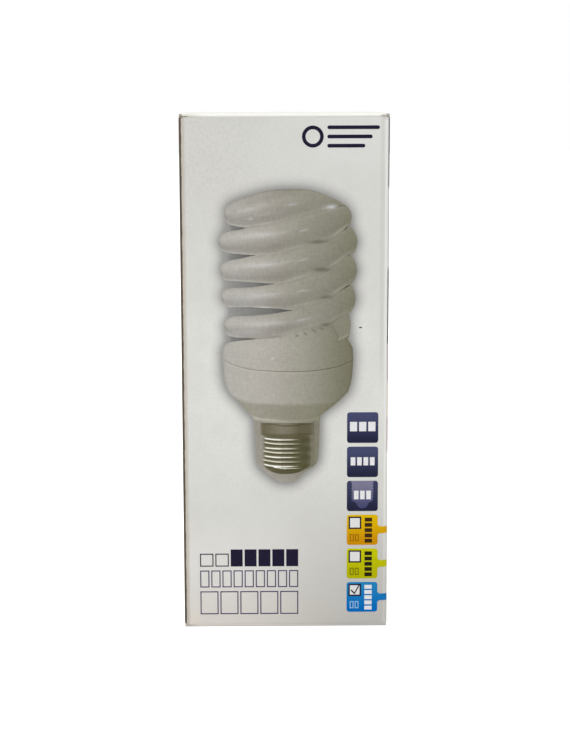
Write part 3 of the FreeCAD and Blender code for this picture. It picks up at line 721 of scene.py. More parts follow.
picture = {
    # lines that two neighbouring bands share, from the dome down to the housing's roof
    "seams": (
        ((-16.4, 117.6), (-16.2, 119.0), (-15.6, 120.1), (-14.3, 121.1), (-12.0, 122.0), (-9.4, 122.8),
         (-6.8, 123.6), (-3.9, 124.3), (-1.0, 124.6), (2.2, 124.6), (5.4, 124.5), (8.0, 124.1), (10.6, 123.2),
         (12.9, 122.2), (14.9, 121.2), (16.6, 120.1)),
        ((-5.7, 114.9), (-1.6, 115.6), (2.5, 116.6), (7.1, 117.7), (10.0, 118.6), (12.9, 119.3),
         (16.6, 120.1)),
        ((-3.4, 106.7), (0.1, 107.3), (3.6, 108.3), (7.1, 109.3), (12.6, 110.7), (15.8, 112.8),
         (17.6, 114.4)),
        ((1.3, 99.0), (4.2, 99.7), (10.3, 101.3), (13.8, 103.5), (16.7, 105.8), (18.0, 106.4)),
        ((5.9, 92.0), (9.2, 92.8), (12.4, 94.1), (15.0, 96.2), (18.1, 98.2)),
        ((-1.7, 84.1), (3.0, 85.3), (7.1, 86.3), (11.5, 87.1), (14.4, 88.6), (17.4, 90.1)),
    ),
    # each band's own ends, from left to right: upper left, upper right, lower left, lower right
    "bandEnds": (
        ((), (),
         ((-16.4, 117.6), (-16.2, 116.4), (-15.4, 115.2), (-14.2, 114.7), (-12.3, 114.3), (-10.3, 114.1)),
         ()),
        (((-18.2, 110.3), (-17.9, 111.5), (-16.7, 112.5), (-14.7, 113.1), (-11.8, 113.6), (-10.3, 114.08)),
         ((17.6, 119.3), (18.1, 118.4), (18.4, 117.1)),
         ((-18.2, 110.3), (-17.9, 108.8), (-16.9, 107.7), (-15.3, 107.1), (-12.4, 106.8), (-8.0, 106.5)),
         ((18.1, 115.3), (18.4, 117.1))),
        (((-17.75, 102.3), (-17.6, 103.3), (-17.0, 104.1), (-15.3, 104.9), (-12.4, 105.5), (-8.0, 106.42)),
         ((19.0, 113.1), (19.7, 111.7), (20.0, 110.1)),
         ((-17.75, 102.3), (-17.6, 101.1), (-17.2, 100.4), (-16.2, 99.6), (-13.3, 99.3), (-8.9, 99.0),
          (-2.8, 98.6)),
         ((19.1, 107.2), (19.7, 108.5), (20.0, 110.1))),
        (((-17.5, 94.9), (-17.35, 95.8), (-16.9, 96.55), (-15.7, 97.2), (-13.3, 97.42), (-8.9, 97.6),
          (-2.8, 98.52)),
         ((19.1, 105.1), (19.7, 103.6), (19.95, 102.0)),
         ((-17.5, 94.9), (-17.3, 93.6), (-16.6, 92.6), (-15.1, 92.1), (-10.4, 92.1), (-6.1, 92.1),
          (-1.7, 91.6), (2.1, 91.2)),
         ((18.9, 99.1), (19.6, 100.4), (19.95, 102.0))),
        (((-16.85, 86.8), (-16.6, 87.9), (-15.7, 89.0), (-14.0, 89.5), (-10.5, 89.6), (-4.6, 90.05),
          (2.1, 91.12)),
         ((19.0, 97.0), (19.45, 95.6), (19.6, 94.3)),
         ((-16.85, 86.8), (-16.3, 85.0), (-15.2, 84.0), (-13.4, 83.6), (-10.5, 83.2), (-8.1, 83.1)),
         ((18.6, 91.2), (19.3, 92.6), (19.6, 94.3))),
    ),
    "bandSteps": (120, 30),
    "bandLeast": 0.01,      # a band's least height, at its tips
    # the housing's roof under the lowest band: its upper ends, then its lower edge
    "roofLeft": ((-8.1, 83.06),),
    "roofRight": ((18.0, 88.9), (18.2, 86.6)),
    "roofFoot": ((-8.1, 82.9), (-1.7, 82.9), (3.0, 82.9), (7.1, 82.9), (11.5, 82.9), (14.4, 82.9),
                 (17.4, 83.0), (17.9, 84.3), (18.2, 86.6)),
    "roofSteps": (120, 18),
    # outlines as rows of height, left and right edge, from the top down
    "tubeEnd": ((90.0, 17.2, 17.5), (89.0, 14.9, 17.95), (88.2, 13.6, 18.15), (87.3, 12.2, 18.25),
                (86.3, 13.0, 18.2), (84.6, 14.3, 17.85), (83.8, 14.6, 17.4), (83.2, 14.7, 16.2),
                (82.6, 14.6, 14.95)),
    "housingRows": ((83.3, -4.5, 17.2), (83.0, -8.8, 17.4), (82.5, -14.4, 17.75), (81.85, -16.3, 18.15),
                    (80.6, -17.25, 18.8), (77.7, -17.35, 19.0), (75.0, -17.1, 18.85), (72.8, -17.0, 18.7),
                    (70.4, -16.6, 18.3), (68.2, -15.6, 17.55), (66.5, -14.0, 16.0), (64.9, -12.4, 14.2),
                    (63.0, -10.8, 11.9), (61.5, -9.4, 9.9), (60.6, -8.75, 9.75), (60.0, -8.7, 9.7)),
    "capOutline": ((60.9, -9.0, 9.8), (60.3, -8.55, 9.65), (53.4, -8.3, 9.5), (49.5, -8.0, 9.3),
                   (48.0, -7.85, 8.9), (47.0, -7.5, 8.1), (46.0, -6.5, 6.6), (45.2, -5.5, 5.3),
                   (44.3, -4.4, 4.4), (43.4, -3.2, 3.6), (42.8, -2.2, 2.9), (42.4, -1.2, 1.9)),
    "coreOutline": ((59.35, -7.0, 8.05), (58.6, -7.05, 8.1), (56.2, -6.95, 8.0), (55.6, -6.4, 7.8),
                    (52.0, -6.5, 7.85), (47.4, -6.5, 7.7), (46.6, -5.8, 6.8), (46.2, -5.5, 6.1),
                    (45.6, -4.4, 5.0), (45.2, -3.4, 4.0), (44.9, -2.5, 2.8), (44.72, -1.3, 1.2)),
    # the height of one row in each, and its number of columns
    "tubeSteps": (0.2, 16),
    "housingSteps": (0.22, 76),
    "capSteps": (0.25, 44),
    "coreSteps": (0.09, 56),
    # lines across the housing: its joint with the cover, its lower step and its rim over the cap
    "seam": ((-17.0, 77.4), (-15.6, 76.5), (-13.5, 75.6), (-10.5, 74.8), (-7.8, 74.35), (-3, 74.0),
             (1.9, 73.9), (6, 74.0), (9.9, 74.35), (13, 74.9), (15.3, 75.5), (17.3, 76.3), (18.8, 77.1)),
    "seamWidth": 0.24,
    "stepLine": ((-15.5, 67.4), (-14.5, 66.8), (-10.7, 65.4), (-4.6, 64.7), (4.5, 64.5), (11.3, 64.8),
                 (13.7, 65.3), (16.5, 66.4)),
    "rimLine": ((-10.2, 61.9), (-8.9, 60.95), (-4.6, 60.1), (1.3, 59.65), (7.2, 59.95), (9.8, 60.8)),
    # shadows between two bands: tip, x of the mouth, and the mouth's upper and lower height
    "gaps": (
        ((-10.1, 114.12), -15.2, 115.05, 113.4),
        ((-8.0, 106.46), -15.9, 107.25, 105.1),
        ((-2.7, 98.57), -15.9, 99.6, 97.5),
        ((2.1, 91.18), -15.6, 92.2, 89.3),
        ((-8.1, 83.09), -15.6, 83.8, 82.4),
    ),
    "gapLap": (0.25, 0.6),      # how far they reach in behind the bands above and below
    "gapSteps": (24, 4),
    # heights over the panel's own print
    "gapLayer": -0.015,
    "capLayer": -0.004,
    "roofLayer": -0.002,
    "coreLayer": 0.004,
    "lineLayer": 0.006,
    "tubeFoot": 0.01,
    "coreFoot": 0.022,
    # the picture as a whole: its foot, its size over the points above, and its outline's steps
    "middle": (0.93, 42.4),
    "spread": (1.008, 1.005),
    "bodyTop": 82.2,
    # where the outline dips between two lobes, left and right
    "dips": (((-15.9, 114.3), (-16.4, 106.4), (-16.0, 98.7), (-14.7, 91.0), (-15.7, 83.3)),
             ((17.8, 114.4), (18.3, 106.4), (18.3, 98.2), (17.6, 90.1))),
    "outlineSteps": 260,
    "outlineTurns": 5,
}

# Light and shade of the picture: rows of x or height, then red, green and blue from 0 to 255

coilLight = {
    "tones": ((-18, 176, 173, 166), (-13, 177, 174, 167), (-6, 171, 167, 158), (0, 158, 154, 144),
              (6, 147, 145, 132), (12, 138, 136, 122), (17, 131, 129, 112), (20, 126, 124, 106)),
    # change of tone over a band's height, on the left and the right, and where one turns into the other
    "leftProfile": ((0, 0), (0.035, 0), (0.08, -17), (0.22, -23), (0.35, -15), (0.5, -4), (0.65, 5),
                    (0.76, 6), (0.88, 2), (1, -8)),
    "rightProfile": ((0, -3), (0.05, 4), (0.12, 1), (0.24, -6), (0.38, -4), (0.55, -1), (0.7, 1), (0.85, 2),
                     (0.94, 6), (1, 0)),
    "turn": (-4.0, 7.0),
    # darker rims: by how much, and over which share of the band
    "leftRim": (15.0, 0.01),
    "rightRim": (3.0, 0.012),
    "crownRim": (13.0, 0.028),
    "crownFrom": 120.15,
    # the tube's end: its foot as x, height and slope, the light along it, and its own rim
    "endFoot": (14.5, 82.55, 0.48),
    "endLine": (14.0, 0.15, 0.28),
    "endRim": (12.0, 0.14),
    "endRise": 4.0,
    # soft highlights and shadows: centre, reach along and across, slope, change of tone
    "glints": (
        (-9.6, 119.1, 3.4, 0.55, 0.2, 15), (-6.5, 120.4, 1.8, 0.18, 0.05, 10),
        (1.9, 120.35, 1.5, 0.2, 0.1, 34), (12.8, 119.75, 1.5, 0.55, 0.05, 52),
        (-9.4, 116.4, 0.8, 0.25, 0.05, 30), (-6.8, 111.9, 5.2, 0.75, 0.06, 17),
        (-3.4, 112.3, 2.2, 0.22, 0.08, 9), (5.4, 113.3, 1.3, 0.2, 0.2, 30), (0.5, 112.9, 1.8, 0.2, 0.1, 12),
        (-6.8, 103.65, 5.2, 0.8, 0.06, 18), (-3.0, 104.0, 2.2, 0.22, 0.08, 9),
        (5.2, 105.15, 1.5, 0.2, 0.2, 30), (0.6, 104.7, 1.8, 0.2, 0.1, 12), (-7.0, 95.1, 5.4, 0.8, 0.05, 18),
        (-3.6, 95.6, 2.4, 0.22, 0.06, 9), (5.0, 96.55, 1.6, 0.2, 0.18, 30),
        (-5.5, 87.3, 6.0, 0.75, 0.04, 16), (-2.0, 87.7, 2.4, 0.22, 0.06, 9), (4.8, 88.5, 1.8, 0.2, 0.2, 28),
        (2.0, 108.5, 2.6, 0.25, 0.24, 10), (3.0, 100.1, 2.8, 0.3, 0.28, 14),
        (4.4, 92.7, 3.0, 0.25, 0.25, 12), (14.8, 112.9, 2.2, 0.45, 0.75, 16),
        (14.6, 104.8, 2.2, 0.4, 0.7, 14), (14.8, 96.9, 2.0, 0.4, 0.65, 12),
        (8.9, 110.1, 2.7, 0.5, 0.02, -33), (10.3, 102.4, 2.2, 0.55, 0.0, -35),
        (11.5, 94.75, 1.7, 0.4, 0.1, -32), (11.2, 87.2, 1.3, 0.4, 0.1, -28),
        (3.3, 83.95, 0.3, 0.22, 0, -60), (5.6, 84.6, 0.45, 0.26, -0.6, -50),
        (8.1, 85.35, 0.55, 0.26, -0.6, -40), (10.2, 86.0, 0.5, 0.25, -0.6, -24),
        (14.0, 85.2, 0.8, 0.3, -1.1, -10), (-10.4, 83.26, 3.1, 0.2, -0.05, -84),
        (-6.0, 121.9, 11.5, 1.7, 0.26, -14), (7.0, 88.4, 6.0, 1.5, 0.25, 8),
        (12.0, 119.4, 3.5, 1.1, -0.1, 8), (-4.5, 117.7, 4.5, 1.0, 0.1, 8), (-12.0, 101.2, 6.5, 0.9, 0.0, 8),
        (-9.5, 93.5, 8.0, 0.9, 0.0, 13), (-9.5, 84.8, 7.5, 0.9, 0.03, 15),
        (-4.0, 83.5, 3.6, 0.4, 0.15, -26),
    ),
    "glintReach": 2.6,
    "glintTint": (1.0, 1.05, 1.35),     # the glints are cooler than the glass
    # tone of a gap from its mouth to its tip
    "longGap": ((0, 152), (0.12, 142), (0.28, 134), (0.6, 120), (0.85, 98), (1, 80)),
    "shortGap": ((0, 152), (0.12, 130), (0.28, 122), (0.6, 108), (0.85, 98), (1, 80)),
    "longFrom": 10.0,
    "gapTint": (0.0, -0.5, -3.0),
}

housingLight = {
    "tones": ((-18, 170, 167, 160), (-16, 179, 176, 169), (-12, 180, 177, 169), (-8, 180, 176, 168),
              (-3, 174, 170, 161), (1, 166, 162, 152), (5, 158, 155, 143), (8, 149, 147, 134),
              (12, 137, 135, 119), (15, 125, 123, 105), (19, 119, 117, 97)),
    # under the step: darker by how much, how sharply, fading to the right over this width, to this share
    "step": (24.0, 6.0, 22.0, 0.35),
    "stepTint": (0.0, 0.0, 5.0),
    # the lit rim over the cap: width, fading over, least share, then its strength here and on the cap
    "rim": (0.42, 11.0, 0.25),
    "rimHere": 30.0,
    "rimCap": 26.0,
    # a broad light under the roof, darker sides, one bright mark and the light along the joint
    "brow": (4.0, 80.4, 1.3, -6.0, 14.0),
    "leftSide": (9.0, 0.012),
    "rightSide": (9.0, 0.015),
    "mark": (60.0, -3.6, 77.6, 0.2),
    "jointLight": (9.0, 0.32, 0.22),
    "jointTurn": (6.0, 0.4),
    "roofShadow": (9.0, 0.22),
    "jointInk": ((-17.0, 18.0), tint(150, 144, 132), tint(98, 95, 78)),
}

capLight = {
    # by height, on the left and the right, and where one turns into the other
    "left": ((42, 176, 171, 163), (44, 166, 160, 152), (46, 160, 156, 149), (49, 154, 150, 140),
             (60, 152, 147, 136)),
    "right": ((42, 146, 142, 130), (45, 140, 135, 122), (48, 132, 129, 112), (60, 130, 127, 112)),
    "turn": (-6.0, 6.0),
    "edge": (14.0, 7.9, 0.35),
    # the collar between the rim and the thread, with the shadow along its top and its foot
    "collarFrom": 56.0,
    "collar": ((-6.5, 104, 98, 76), (-4, 116, 111, 90), (-1, 130, 125, 108), (1.5, 120, 115, 96),
               (4, 98, 93, 72), (7.7, 98, 94, 73)),
    "collarTop": ((-6.5, 59.3), (-3.0, 58.9), (-0.4, 58.5), (2.3, 58.55), (5.0, 58.9), (7.7, 59.1)),
    "topShadow": (34.0, 0.22, 9.0, 0.3),
    "footShadow": (14.0, 56.1, 0.25),
    "thread": ((-6.4, 138, 132, 116), (-5.6, 108, 103, 80), (-4, 98, 94, 70), (0, 98, 93, 72),
               (3.2, 92, 88, 64), (5.5, 84, 81, 57), (6.6, 92, 88, 66), (7.7, 116, 111, 92)),
    # bright thread lines: height at the left end, height at the middle, right end, strength, left end
    "lines": ((55.0, 54.5, 3.2, 105, -5.7), (53.85, 53.3, 3.9, 80, -5.8), (52.3, 51.95, 3.3, 95, -5.6),
              (51.4, 50.75, 3.9, 80, -6.1), (49.95, 49.45, 3.2, 105, -5.7), (48.9, 48.15, 3.9, 75, -6.2),
              (47.5, 46.85, 3.2, 115, -5.8), (46.7, 46.3, 3.9, 80, -3.2)),
    "lineWidth": (0.2, 0.14),
    "lineGain": 1.75,
    # in shares of a line's way: where it shows, how it bends, how it starts and ends, and where it dims
    "lineSpan": (-0.05, 1.3),
    "lineDrop": 1.9,
    "lineLift": (0.25, 0.6),
    "lineStart": 12.0,
    "lineEnd": (0.8, 1.1),
    "lineDim": (0.35, 0.35),
    # darker under each line, lighter over it
    "underLine": (24.0, 0.42, 0.2),
    "overLine": (22.0, 0.3, 0.3, 0.45, 0.3),
    "ripple": (8.0, 45.0, 2.52),
    "rippleFrom": (4.0, 7.0),
    "bottom": (10.0, 45.2, 0.5),
    "lineTint": (0, 2, 8),
    "lineTintFull": 110.0,
    # how far the metal fades into the margin at both sides
    "leftFade": 0.035,
    "rightFade": 0.045,
    "collarFade": 0.7,
    "threadFade": 0.8,
}

halo = {
    # share of the board's own light, by distance from the outline
    "tones": ((-2.6, 0.62), (-1.5, 0.66), (-0.8, 0.695), (0.0, 0.72), (0.5, 0.757), (1.0, 0.82), (1.5, 0.878),
              (2.0, 0.922), (2.5, 0.952), (3.2, 0.98), (4.0, 1.0)),
    "rings": 18,
    "height": 0.012,
    "span": 5,
    # deeper round the lower half and down the coil's right side: by this share, from and to
    "lower": (0.15, (95.0, 75.0)),
    "right": (0.2, (10.0, 15.0), (84.0, 90.0), (121.0, 115.0)),
    "gamma": 2.2,
    "green": 0.995,
    "blue": (0.985, 0.015),
}


def placed(x, z):
    # the picture's own points, laid on the panel
    x0, z0 = picture["middle"]
    across, up = picture["spread"]
    return x0 + (x - x0) * across, z0 + (z - z0) * up


def toneAt(table, x):
    # a straight run through rows of (x, values...)
    if x <= table[0][0]:
        return list(table[0][1:])
    for low, high in zip(table, table[1:]):
        if x <= high[0]:
            share = (x - low[0]) / (high[0] - low[0])
            return [a + (b - a) * share for a, b in zip(low[1:], high[1:])]
    return list(table[-1][1:])


def heightAt(points, x):
    # cubic through points that run in x
    last = len(points) - 1
    if x <= points[0][0]:
        return points[0][1]
    if x >= points[last][0]:
        return points[last][1]
    k = next(i for i in range(last) if points[i + 1][0] >= x)

    def slope(i):
        a, b = points[max(i - 1, 0)], points[min(i + 1, last)]
        return (b[1] - a[1]) / (b[0] - a[0])

    width = points[k + 1][0] - points[k][0]
    t = (x - points[k][0]) / width
    limit = 3.0 * abs(points[k + 1][1] - points[k][1]) / width + 0.02
    left = max(-limit, min(limit, slope(k)))
    right = max(-limit, min(limit, slope(k + 1)))
    return (points[k][1] * (2 * t ** 3 - 3 * t * t + 1) + width * left * (t ** 3 - 2 * t * t + t)
            + points[k + 1][1] * (3 * t * t - 2 * t ** 3) + width * right * (t ** 3 - t * t))


def sheetPatch(target, grid, shade, low, high):
    # a grid of (x, z, u, v) points in front, with its outline carried back to the panel
    points, faces, colours = target
    rows, columns = len(grid), len(grid[0])
    base = len(points)
    for row in grid:
        for x, z, u, v in row:
            across, up = placed(x, z)
            points.append((across * mm, (panel["y"] - high) * mm, up * mm))
            colours.append(tint(*[max(0, min(255, level)) for level in shade(x, z, u, v)]))
    for i in range(rows - 1):
        for j in range(columns - 1):
            a = base + i * columns + j
            faces.append((a, a + 1, a + columns + 1, a + columns))
    rim = [(0, j) for j in range(columns)] + [(i, columns - 1) for i in range(1, rows)]
    rim += [(rows - 1, j) for j in range(columns - 2, -1, -1)] + [(i, 0) for i in range(rows - 2, 0, -1)]
    back = len(points)
    for i, j in rim:
        x, z = placed(*grid[i][j][:2])
        points.append((x * mm, (panel["y"] - low) * mm, z * mm))
        colours.append(colours[base + i * columns + j])
    count = len(rim)
    faces.append([back + k for k in reversed(range(count))])
    for k in range(count):
        n = (k + 1) % count
        a = base + rim[k][0] * columns + rim[k][1]
        b = base + rim[n][0] * columns + rim[n][1]
        faces.append((b, a, back + k, back + n))


def inkSheet(name, target, material, slot, *replaced):
    points, faces, colours = target
    mesh = bpy.data.meshes.new(name)
    mesh.from_pydata(points, [], faces)
    shades = mesh.attributes.new("inkShade", "FLOAT_COLOR", "POINT")
    shades.data.foreach_set("color", [level for colour in colours for level in colour])
    mesh.materials.append(material)
    mesh.update()
    weld(mesh, 1e-8)
    return onCarton(name, mesh, slot, *replaced)


def inkShade(recipe):
    # the tone that each point of a sheet carries
    attribute = recipe.tree.nodes.new("ShaderNodeAttribute")
    attribute.attribute_name = "inkShade"
    return attribute.outputs["Color"]


def shadedInk(name):
    recipe = Recipe(name, inks["roughness"])
    return inkMaterial(recipe, inkShade(recipe), inks["pictureWeave"])


def glintTone(x, z):
    change = 0.0
    for cx, cz, along, across, slope, strength in coilLight["glints"]:
        dx = (x - cx) / along
        if abs(dx) < coilLight["glintReach"]:
            dz = (z - cz - slope * (x - cx)) / across
            if abs(dz) < coilLight["glintReach"]:
                change += strength * math.exp(-dx * dx - dz * dz)
    return change


def rimTone(distance, rim):
    depth, width = rim
    return depth * bell(distance, width)


def coilShade(x, z, u, v):
    left = toneAt(coilLight["leftProfile"], v)[0]
    right = toneAt(coilLight["rightProfile"], v)[0]
    change = left + (right - left) * rise(x, *coilLight["turn"])
    change -= rimTone(u, coilLight["leftRim"]) + rimTone(1 - u, coilLight["rightRim"])
    if z > coilLight["crownFrom"]:
        change -= rimTone(1 - v, coilLight["crownRim"])
    glint = glintTone(x, z)
    return [level + change + glint * (cool if glint > 0 else 1.0)
            for level, cool in zip(toneAt(coilLight["tones"], x), coilLight["glintTint"])]


def tubeEndShade(x, z, u, v):
    # the tube's last turn where it comes down into the housing
    footX, footZ, slope = coilLight["endFoot"]
    strength, lift, width = coilLight["endLine"]
    foot = footZ + (x - footX) * slope
    change = strength * bell(z - foot - lift, width) - rimTone(u, coilLight["endRim"])
    change += coilLight["endRise"] * u
    return [level + change for level in toneAt(coilLight["tones"], x)]


def bandEdges(k):
    # a band's upper and lower edge, from its left tip to its right one
    upperLeft, upperRight, lowerLeft, lowerRight = picture["bandEnds"][k]
    seams = picture["seams"]
    return upperLeft + seams[k] + upperRight, lowerLeft + seams[k + 1] + lowerRight


def steps(count):
    return [i / count for i in range(count + 1)]


def gridOf(across, upward, place):
    # rows of (x, z, u, v) points, where a rule gives x and z for each u and v
    return [[(*place(u, v), u, v) for u in across] for v in upward]


def bandGrid(upper, lower, columns, rows):
    x0, x1 = upper[0][0], upper[-1][0]

    def place(u, v):
        x = x0 + (x1 - x0) * u
        low = heightAt(lower, x)
        high = max(heightAt(upper, x), low + picture["bandLeast"])
        return x, low + (high - low) * v

    # columns bunch at both ends
    return gridOf([0.5 - 0.5 * math.cos(math.pi * u) for u in steps(columns)], steps(rows), place)


def outlineSheet(target, outline, pitch, shade, low, high):
    # rows from the foot up between a left and a right outline
    top, bottom = outline[0][0], outline[-1][0]
    rowHeight, columns = pitch

    def place(u, v):
        z = bottom + (top - bottom) * v
        left, right = toneAt(outline[::-1], z)
        return left + (right - left) * u, z

    rows = steps(int((top - bottom) / rowHeight))
    sheetPatch(target, gridOf(steps(columns), rows, place), shade, low, high)


def coilPicture():
    target = ([], [], [])
    for k in range(len(picture["bandEnds"])):
        sheetPatch(target, bandGrid(*bandEdges(k), *picture["bandSteps"]), coilShade, 0.0, panel["skin"])
    endTop = panel["skin"] + picture["lineLayer"]
    outlineSheet(target, picture["tubeEnd"], picture["tubeSteps"], tubeEndShade, picture["tubeFoot"], endTop)
    return inkSheet("coilPicture", target, shadedInk("coilInk"), "ink_coil", "print_lamp_coil")


def gapPicture():
    # shadow between the bands: pale at its mouth, darkest at its tip
    target = ([], [], [])
    columns, rows = picture["gapSteps"]
    above, below = picture["gapLap"]
    for (tipX, tipZ), mouth, top, bottom in picture["gaps"]:
        tones = coilLight["longGap" if tipX - mouth > coilLight["longFrom"] else "shortGap"]

        def gapShade(x, z, u, v):
            level = toneAt(tones, u)[0]
            return [level + shift for shift in coilLight["gapTint"]]

        def place(u, v):
            high = top + (tipZ - top) * u + above
            low = bottom + (tipZ - bottom) * u - below
            return mouth + (tipX - mouth) * u, low + (high - low) * v

        grid = gridOf(steps(columns), steps(rows), place)
        sheetPatch(target, grid, gapShade, 0.0, panel["skin"] + picture["gapLayer"])
    return inkSheet("gapPicture", target, shadedInk("gapInk"), "ink_shade", "print_lamp_shade")


def rimGlow(x, z):
    # the lit rim where the housing ends over the cap
    width, fade, least = housingLight["rim"]
    return bell(z - heightAt(picture["rimLine"], x), width) * max(least, 1.0 - max(0.0, x) / fade)


def housingShade(x, z, u, v):
    depth, sharpness, fade, least = housingLight["step"]
    below = 1.0 / (1.0 + math.exp((z - heightAt(picture["stepLine"], x)) * sharpness))
    change = housingLight["rimHere"] * rimGlow(x, z) - depth * below * max(least, min(1.0, 1.0 - x / fade))
    change -= rimTone(u, housingLight["leftSide"]) + rimTone(1.0 - u, housingLight["rightSide"])
    strength, height, width, middle, reach = housingLight["brow"]
    change += strength * bell(z - height, width) * max(0.0, 1.0 - abs(x - middle) / reach)
    strength, markX, markZ, width = housingLight["mark"]
    change += strength * bell(x - markX, width) * bell(z - markZ, width)
    strength, under, width = housingLight["jointLight"]
    turn, share = housingLight["jointTurn"]
    line = strength * bell(z - heightAt(picture["seam"], x) + under, width)
    change += line * (share if x > turn else 1.0)
    return [level + change - tone * below
            for level, tone in zip(toneAt(housingLight["tones"], x), housingLight["stepTint"])]


def roofShade(x, z, u, v):
    change = glintTone(x, z) - rimTone(1.0 - v, housingLight["roofShadow"])
    return [level + change for level in housingShade(x, z, 0.5, v)]


def housingPicture():
    target = ([], [], [])
    outlineSheet(target, picture["housingRows"], picture["housingSteps"], housingShade, 0.0, panel["skin"])
    roofTop = picture["roofLeft"] + picture["seams"][-1] + picture["roofRight"]
    roof = bandGrid(roofTop, picture["roofFoot"], *picture["roofSteps"])
    sheetPatch(target, roof, roofShade, 0.0, panel["skin"] + picture["roofLayer"])
    sheet = inkSheet("housingPicture", target, shadedInk("housingInk"), "ink_housing", "print_lamp_housing")
    # the joint line between cover and housing
    half = picture["seamWidth"] / 2
    line = [placed(x, z + half) for x, z in picture["seam"]]
    line += [placed(x, z - half) for x, z in reversed(picture["seam"])]
    reach, left, right = housingLight["jointInk"]
    ink = rampInk("jointLineInk", 0, *reach, left, right)
    high = panel["skin"] + picture["lineLayer"]
    inkPlate("jointLinePicture", [line], panel["skin"] - panel["lap"], high, ink, "ink_housing")
    return sheet


def capShade(x, z, u, v):
    share = rise(x, *capLight["turn"])
    strength, edgeX, width = capLight["edge"]
    change = housingLight["rimCap"] * rimGlow(x, z) - strength * bell(x - edgeX, width)
    left, right = toneAt(capLight["left"], z), toneAt(capLight["right"], z)
    return [a + (b - a) * share + change for a, b in zip(left, right)]


def collarShade(x, z):
    depth, width, fade, least = capLight["topShadow"]
    top = heightAt(capLight["collarTop"], x)
    change = -depth * bell(z - top, width) * max(least, 1.0 - abs(x) / fade)
    depth, height, width = capLight["footShadow"]
    change -= depth * bell(z - height, width)
    return [level + change for level in toneAt(capLight["collar"], x)]


def threadLine(x, z, line):
    # one bright turn of the thread, which drops from its left end and fades at its right one
    leftZ, middleZ, right, strength, left = line
    way = (x - left) / (right - left)
    start, end = capLight["lineSpan"]
    if not start < way < end:
        return 0.0
    lift, liftFrom = capLight["lineLift"]
    height = middleZ + (leftZ - middleZ) * max(0.0, 1.0 - way * capLight["lineDrop"]) ** 2
    height += lift * max(0.0, way - liftFrom) ** 2
    fade = min(1.0, (way - start) * capLight["lineStart"]) * (1.0 - rise(way, *capLight["lineEnd"]))
    dim, dimFrom = capLight["lineDim"]
    glow = capLight["lineGain"] * strength * (1.0 - dim * max(0.0, way - dimFrom))
    change = glow * bell(z - height, capLight["lineWidth"][0 if way < 0.5 else 1])
    depth, below, width = capLight["underLine"]
    change -= depth * bell(z - height + below, width)
    gain, above, width, middle, reach = capLight["overLine"]
    change += gain * bell(z - height - above, width) * bell(way - middle, reach)
    return change * fade


def threadShade(x, z):
    change = sum(threadLine(x, z, line) for line in capLight["lines"])
    swing, start, pitch = capLight["ripple"]
    ripple = swing * math.sin((z - start) * 2.0 * math.pi / pitch) * rise(x, *capLight["rippleFrom"])
    depth, height, width = capLight["bottom"]
    bottom = depth * bell(z - height, width)
    warm = max(0.0, change) / capLight["lineTintFull"]
    return [level + change + ripple - bottom + shift * warm
            for level, shift in zip(toneAt(capLight["thread"], x), capLight["lineTint"])]


def coreShade(x, z, u, v):
    # the metal fades into the margin at both sides
    onCollar = z > capLight["collarFrom"]
    levels = collarShade(x, z) if onCollar else threadShade(x, z)
    side = max(bell(u, capLight["leftFade"]), bell(1.0 - u, capLight["rightFade"]))
    side *= capLight["collarFade" if onCollar else "threadFade"]
    return [level + (other - level) * side for level, other in zip(levels, capShade(x, z, u, v))]


def capPicture():
    target = ([], [], [])
    capTop = panel["skin"] + picture["capLayer"]
    outlineSheet(target, picture["capOutline"], picture["capSteps"], capShade, 0.0, capTop)
    coreTop = panel["skin"] + picture["coreLayer"]
    coreFoot = picture["coreFoot"]
    outlineSheet(target, picture["coreOutline"], picture["coreSteps"], coreShade, coreFoot, coreTop)
    ink = shadedInk("capInk")
    return inkSheet("capPicture", target, ink, "ink_cap", "print_lamp_cap", "print_lamp_thread")


def pictureOutline():
    # the whole lamp's outline, smoothed over its lobes, run anticlockwise from the foot
    rows = [row for row in picture["capOutline"] + picture["housingRows"] if row[0] < picture["bodyTop"]]
    sides = []
    for edge, column in ((0, 1), (-1, 2)):
        side = [(row[column], row[0]) for row in rows]
        side += [bandEdges(k)[0][edge] for k in range(1, len(picture["bandEnds"]))]
        side += picture["dips"][edge]
        sides.append(sorted(side, key=lambda point: point[1]))
    loop = sides[1] + list(reversed(picture["seams"][0][1:])) + sides[0][::-1]
    # even steps round the loop
    even = []
    step = sum(math.dist(a, b) for a, b in closed(loop)) / picture["outlineSteps"]
    carried = 0.0
    for a, b in closed(loop):
        length = math.dist(a, b)
        while carried < length:
            t = carried / length
            even.append((a[0] + (b[0] - a[0]) * t, a[1] + (b[1] - a[1]) * t))
            carried += step
        carried -= length
    for turn in range(picture["outlineTurns"]):
        even = [((a[0] + 2 * b[0] + c[0]) / 4, (a[1] + 2 * b[1] + c[1]) / 4)
                for a, b, c in zip(even[-1:] + even[:-1], even, even[1:] + even[:1])]
    return [placed(*point) for point in even]


def haloMaterial():
    # the board's own white, dimmed by the attribute round the picture
    recipe = Recipe("haloInk", board["roughness"])
    dim = recipe.tree.nodes.new("ShaderNodeMix")
    dim.data_type = "RGBA"
    dim.blend_type = "MULTIPLY"
    dim.inputs["Factor"].default_value = 1.0
    recipe.link(coatedBoard(recipe), dim.inputs[6])
    recipe.link(inkShade(recipe), dim.inputs[7])
    return boardFinish(recipe, dim.outputs[2])


def haloTone(x, z, dim):
    deeper, reach = halo["lower"]
    depth = 1.0 + deeper * rise(z, *reach)
    deeper, across, foot, top = halo["right"]
    depth += deeper * min(rise(x, *across), rise(z, *foot), rise(z, *top))
    level = (1.0 - (1.0 - dim) * depth) ** halo["gamma"]
    base, share = halo["blue"]
    return level, level * halo["green"], level * (base + share * dim), 1.0


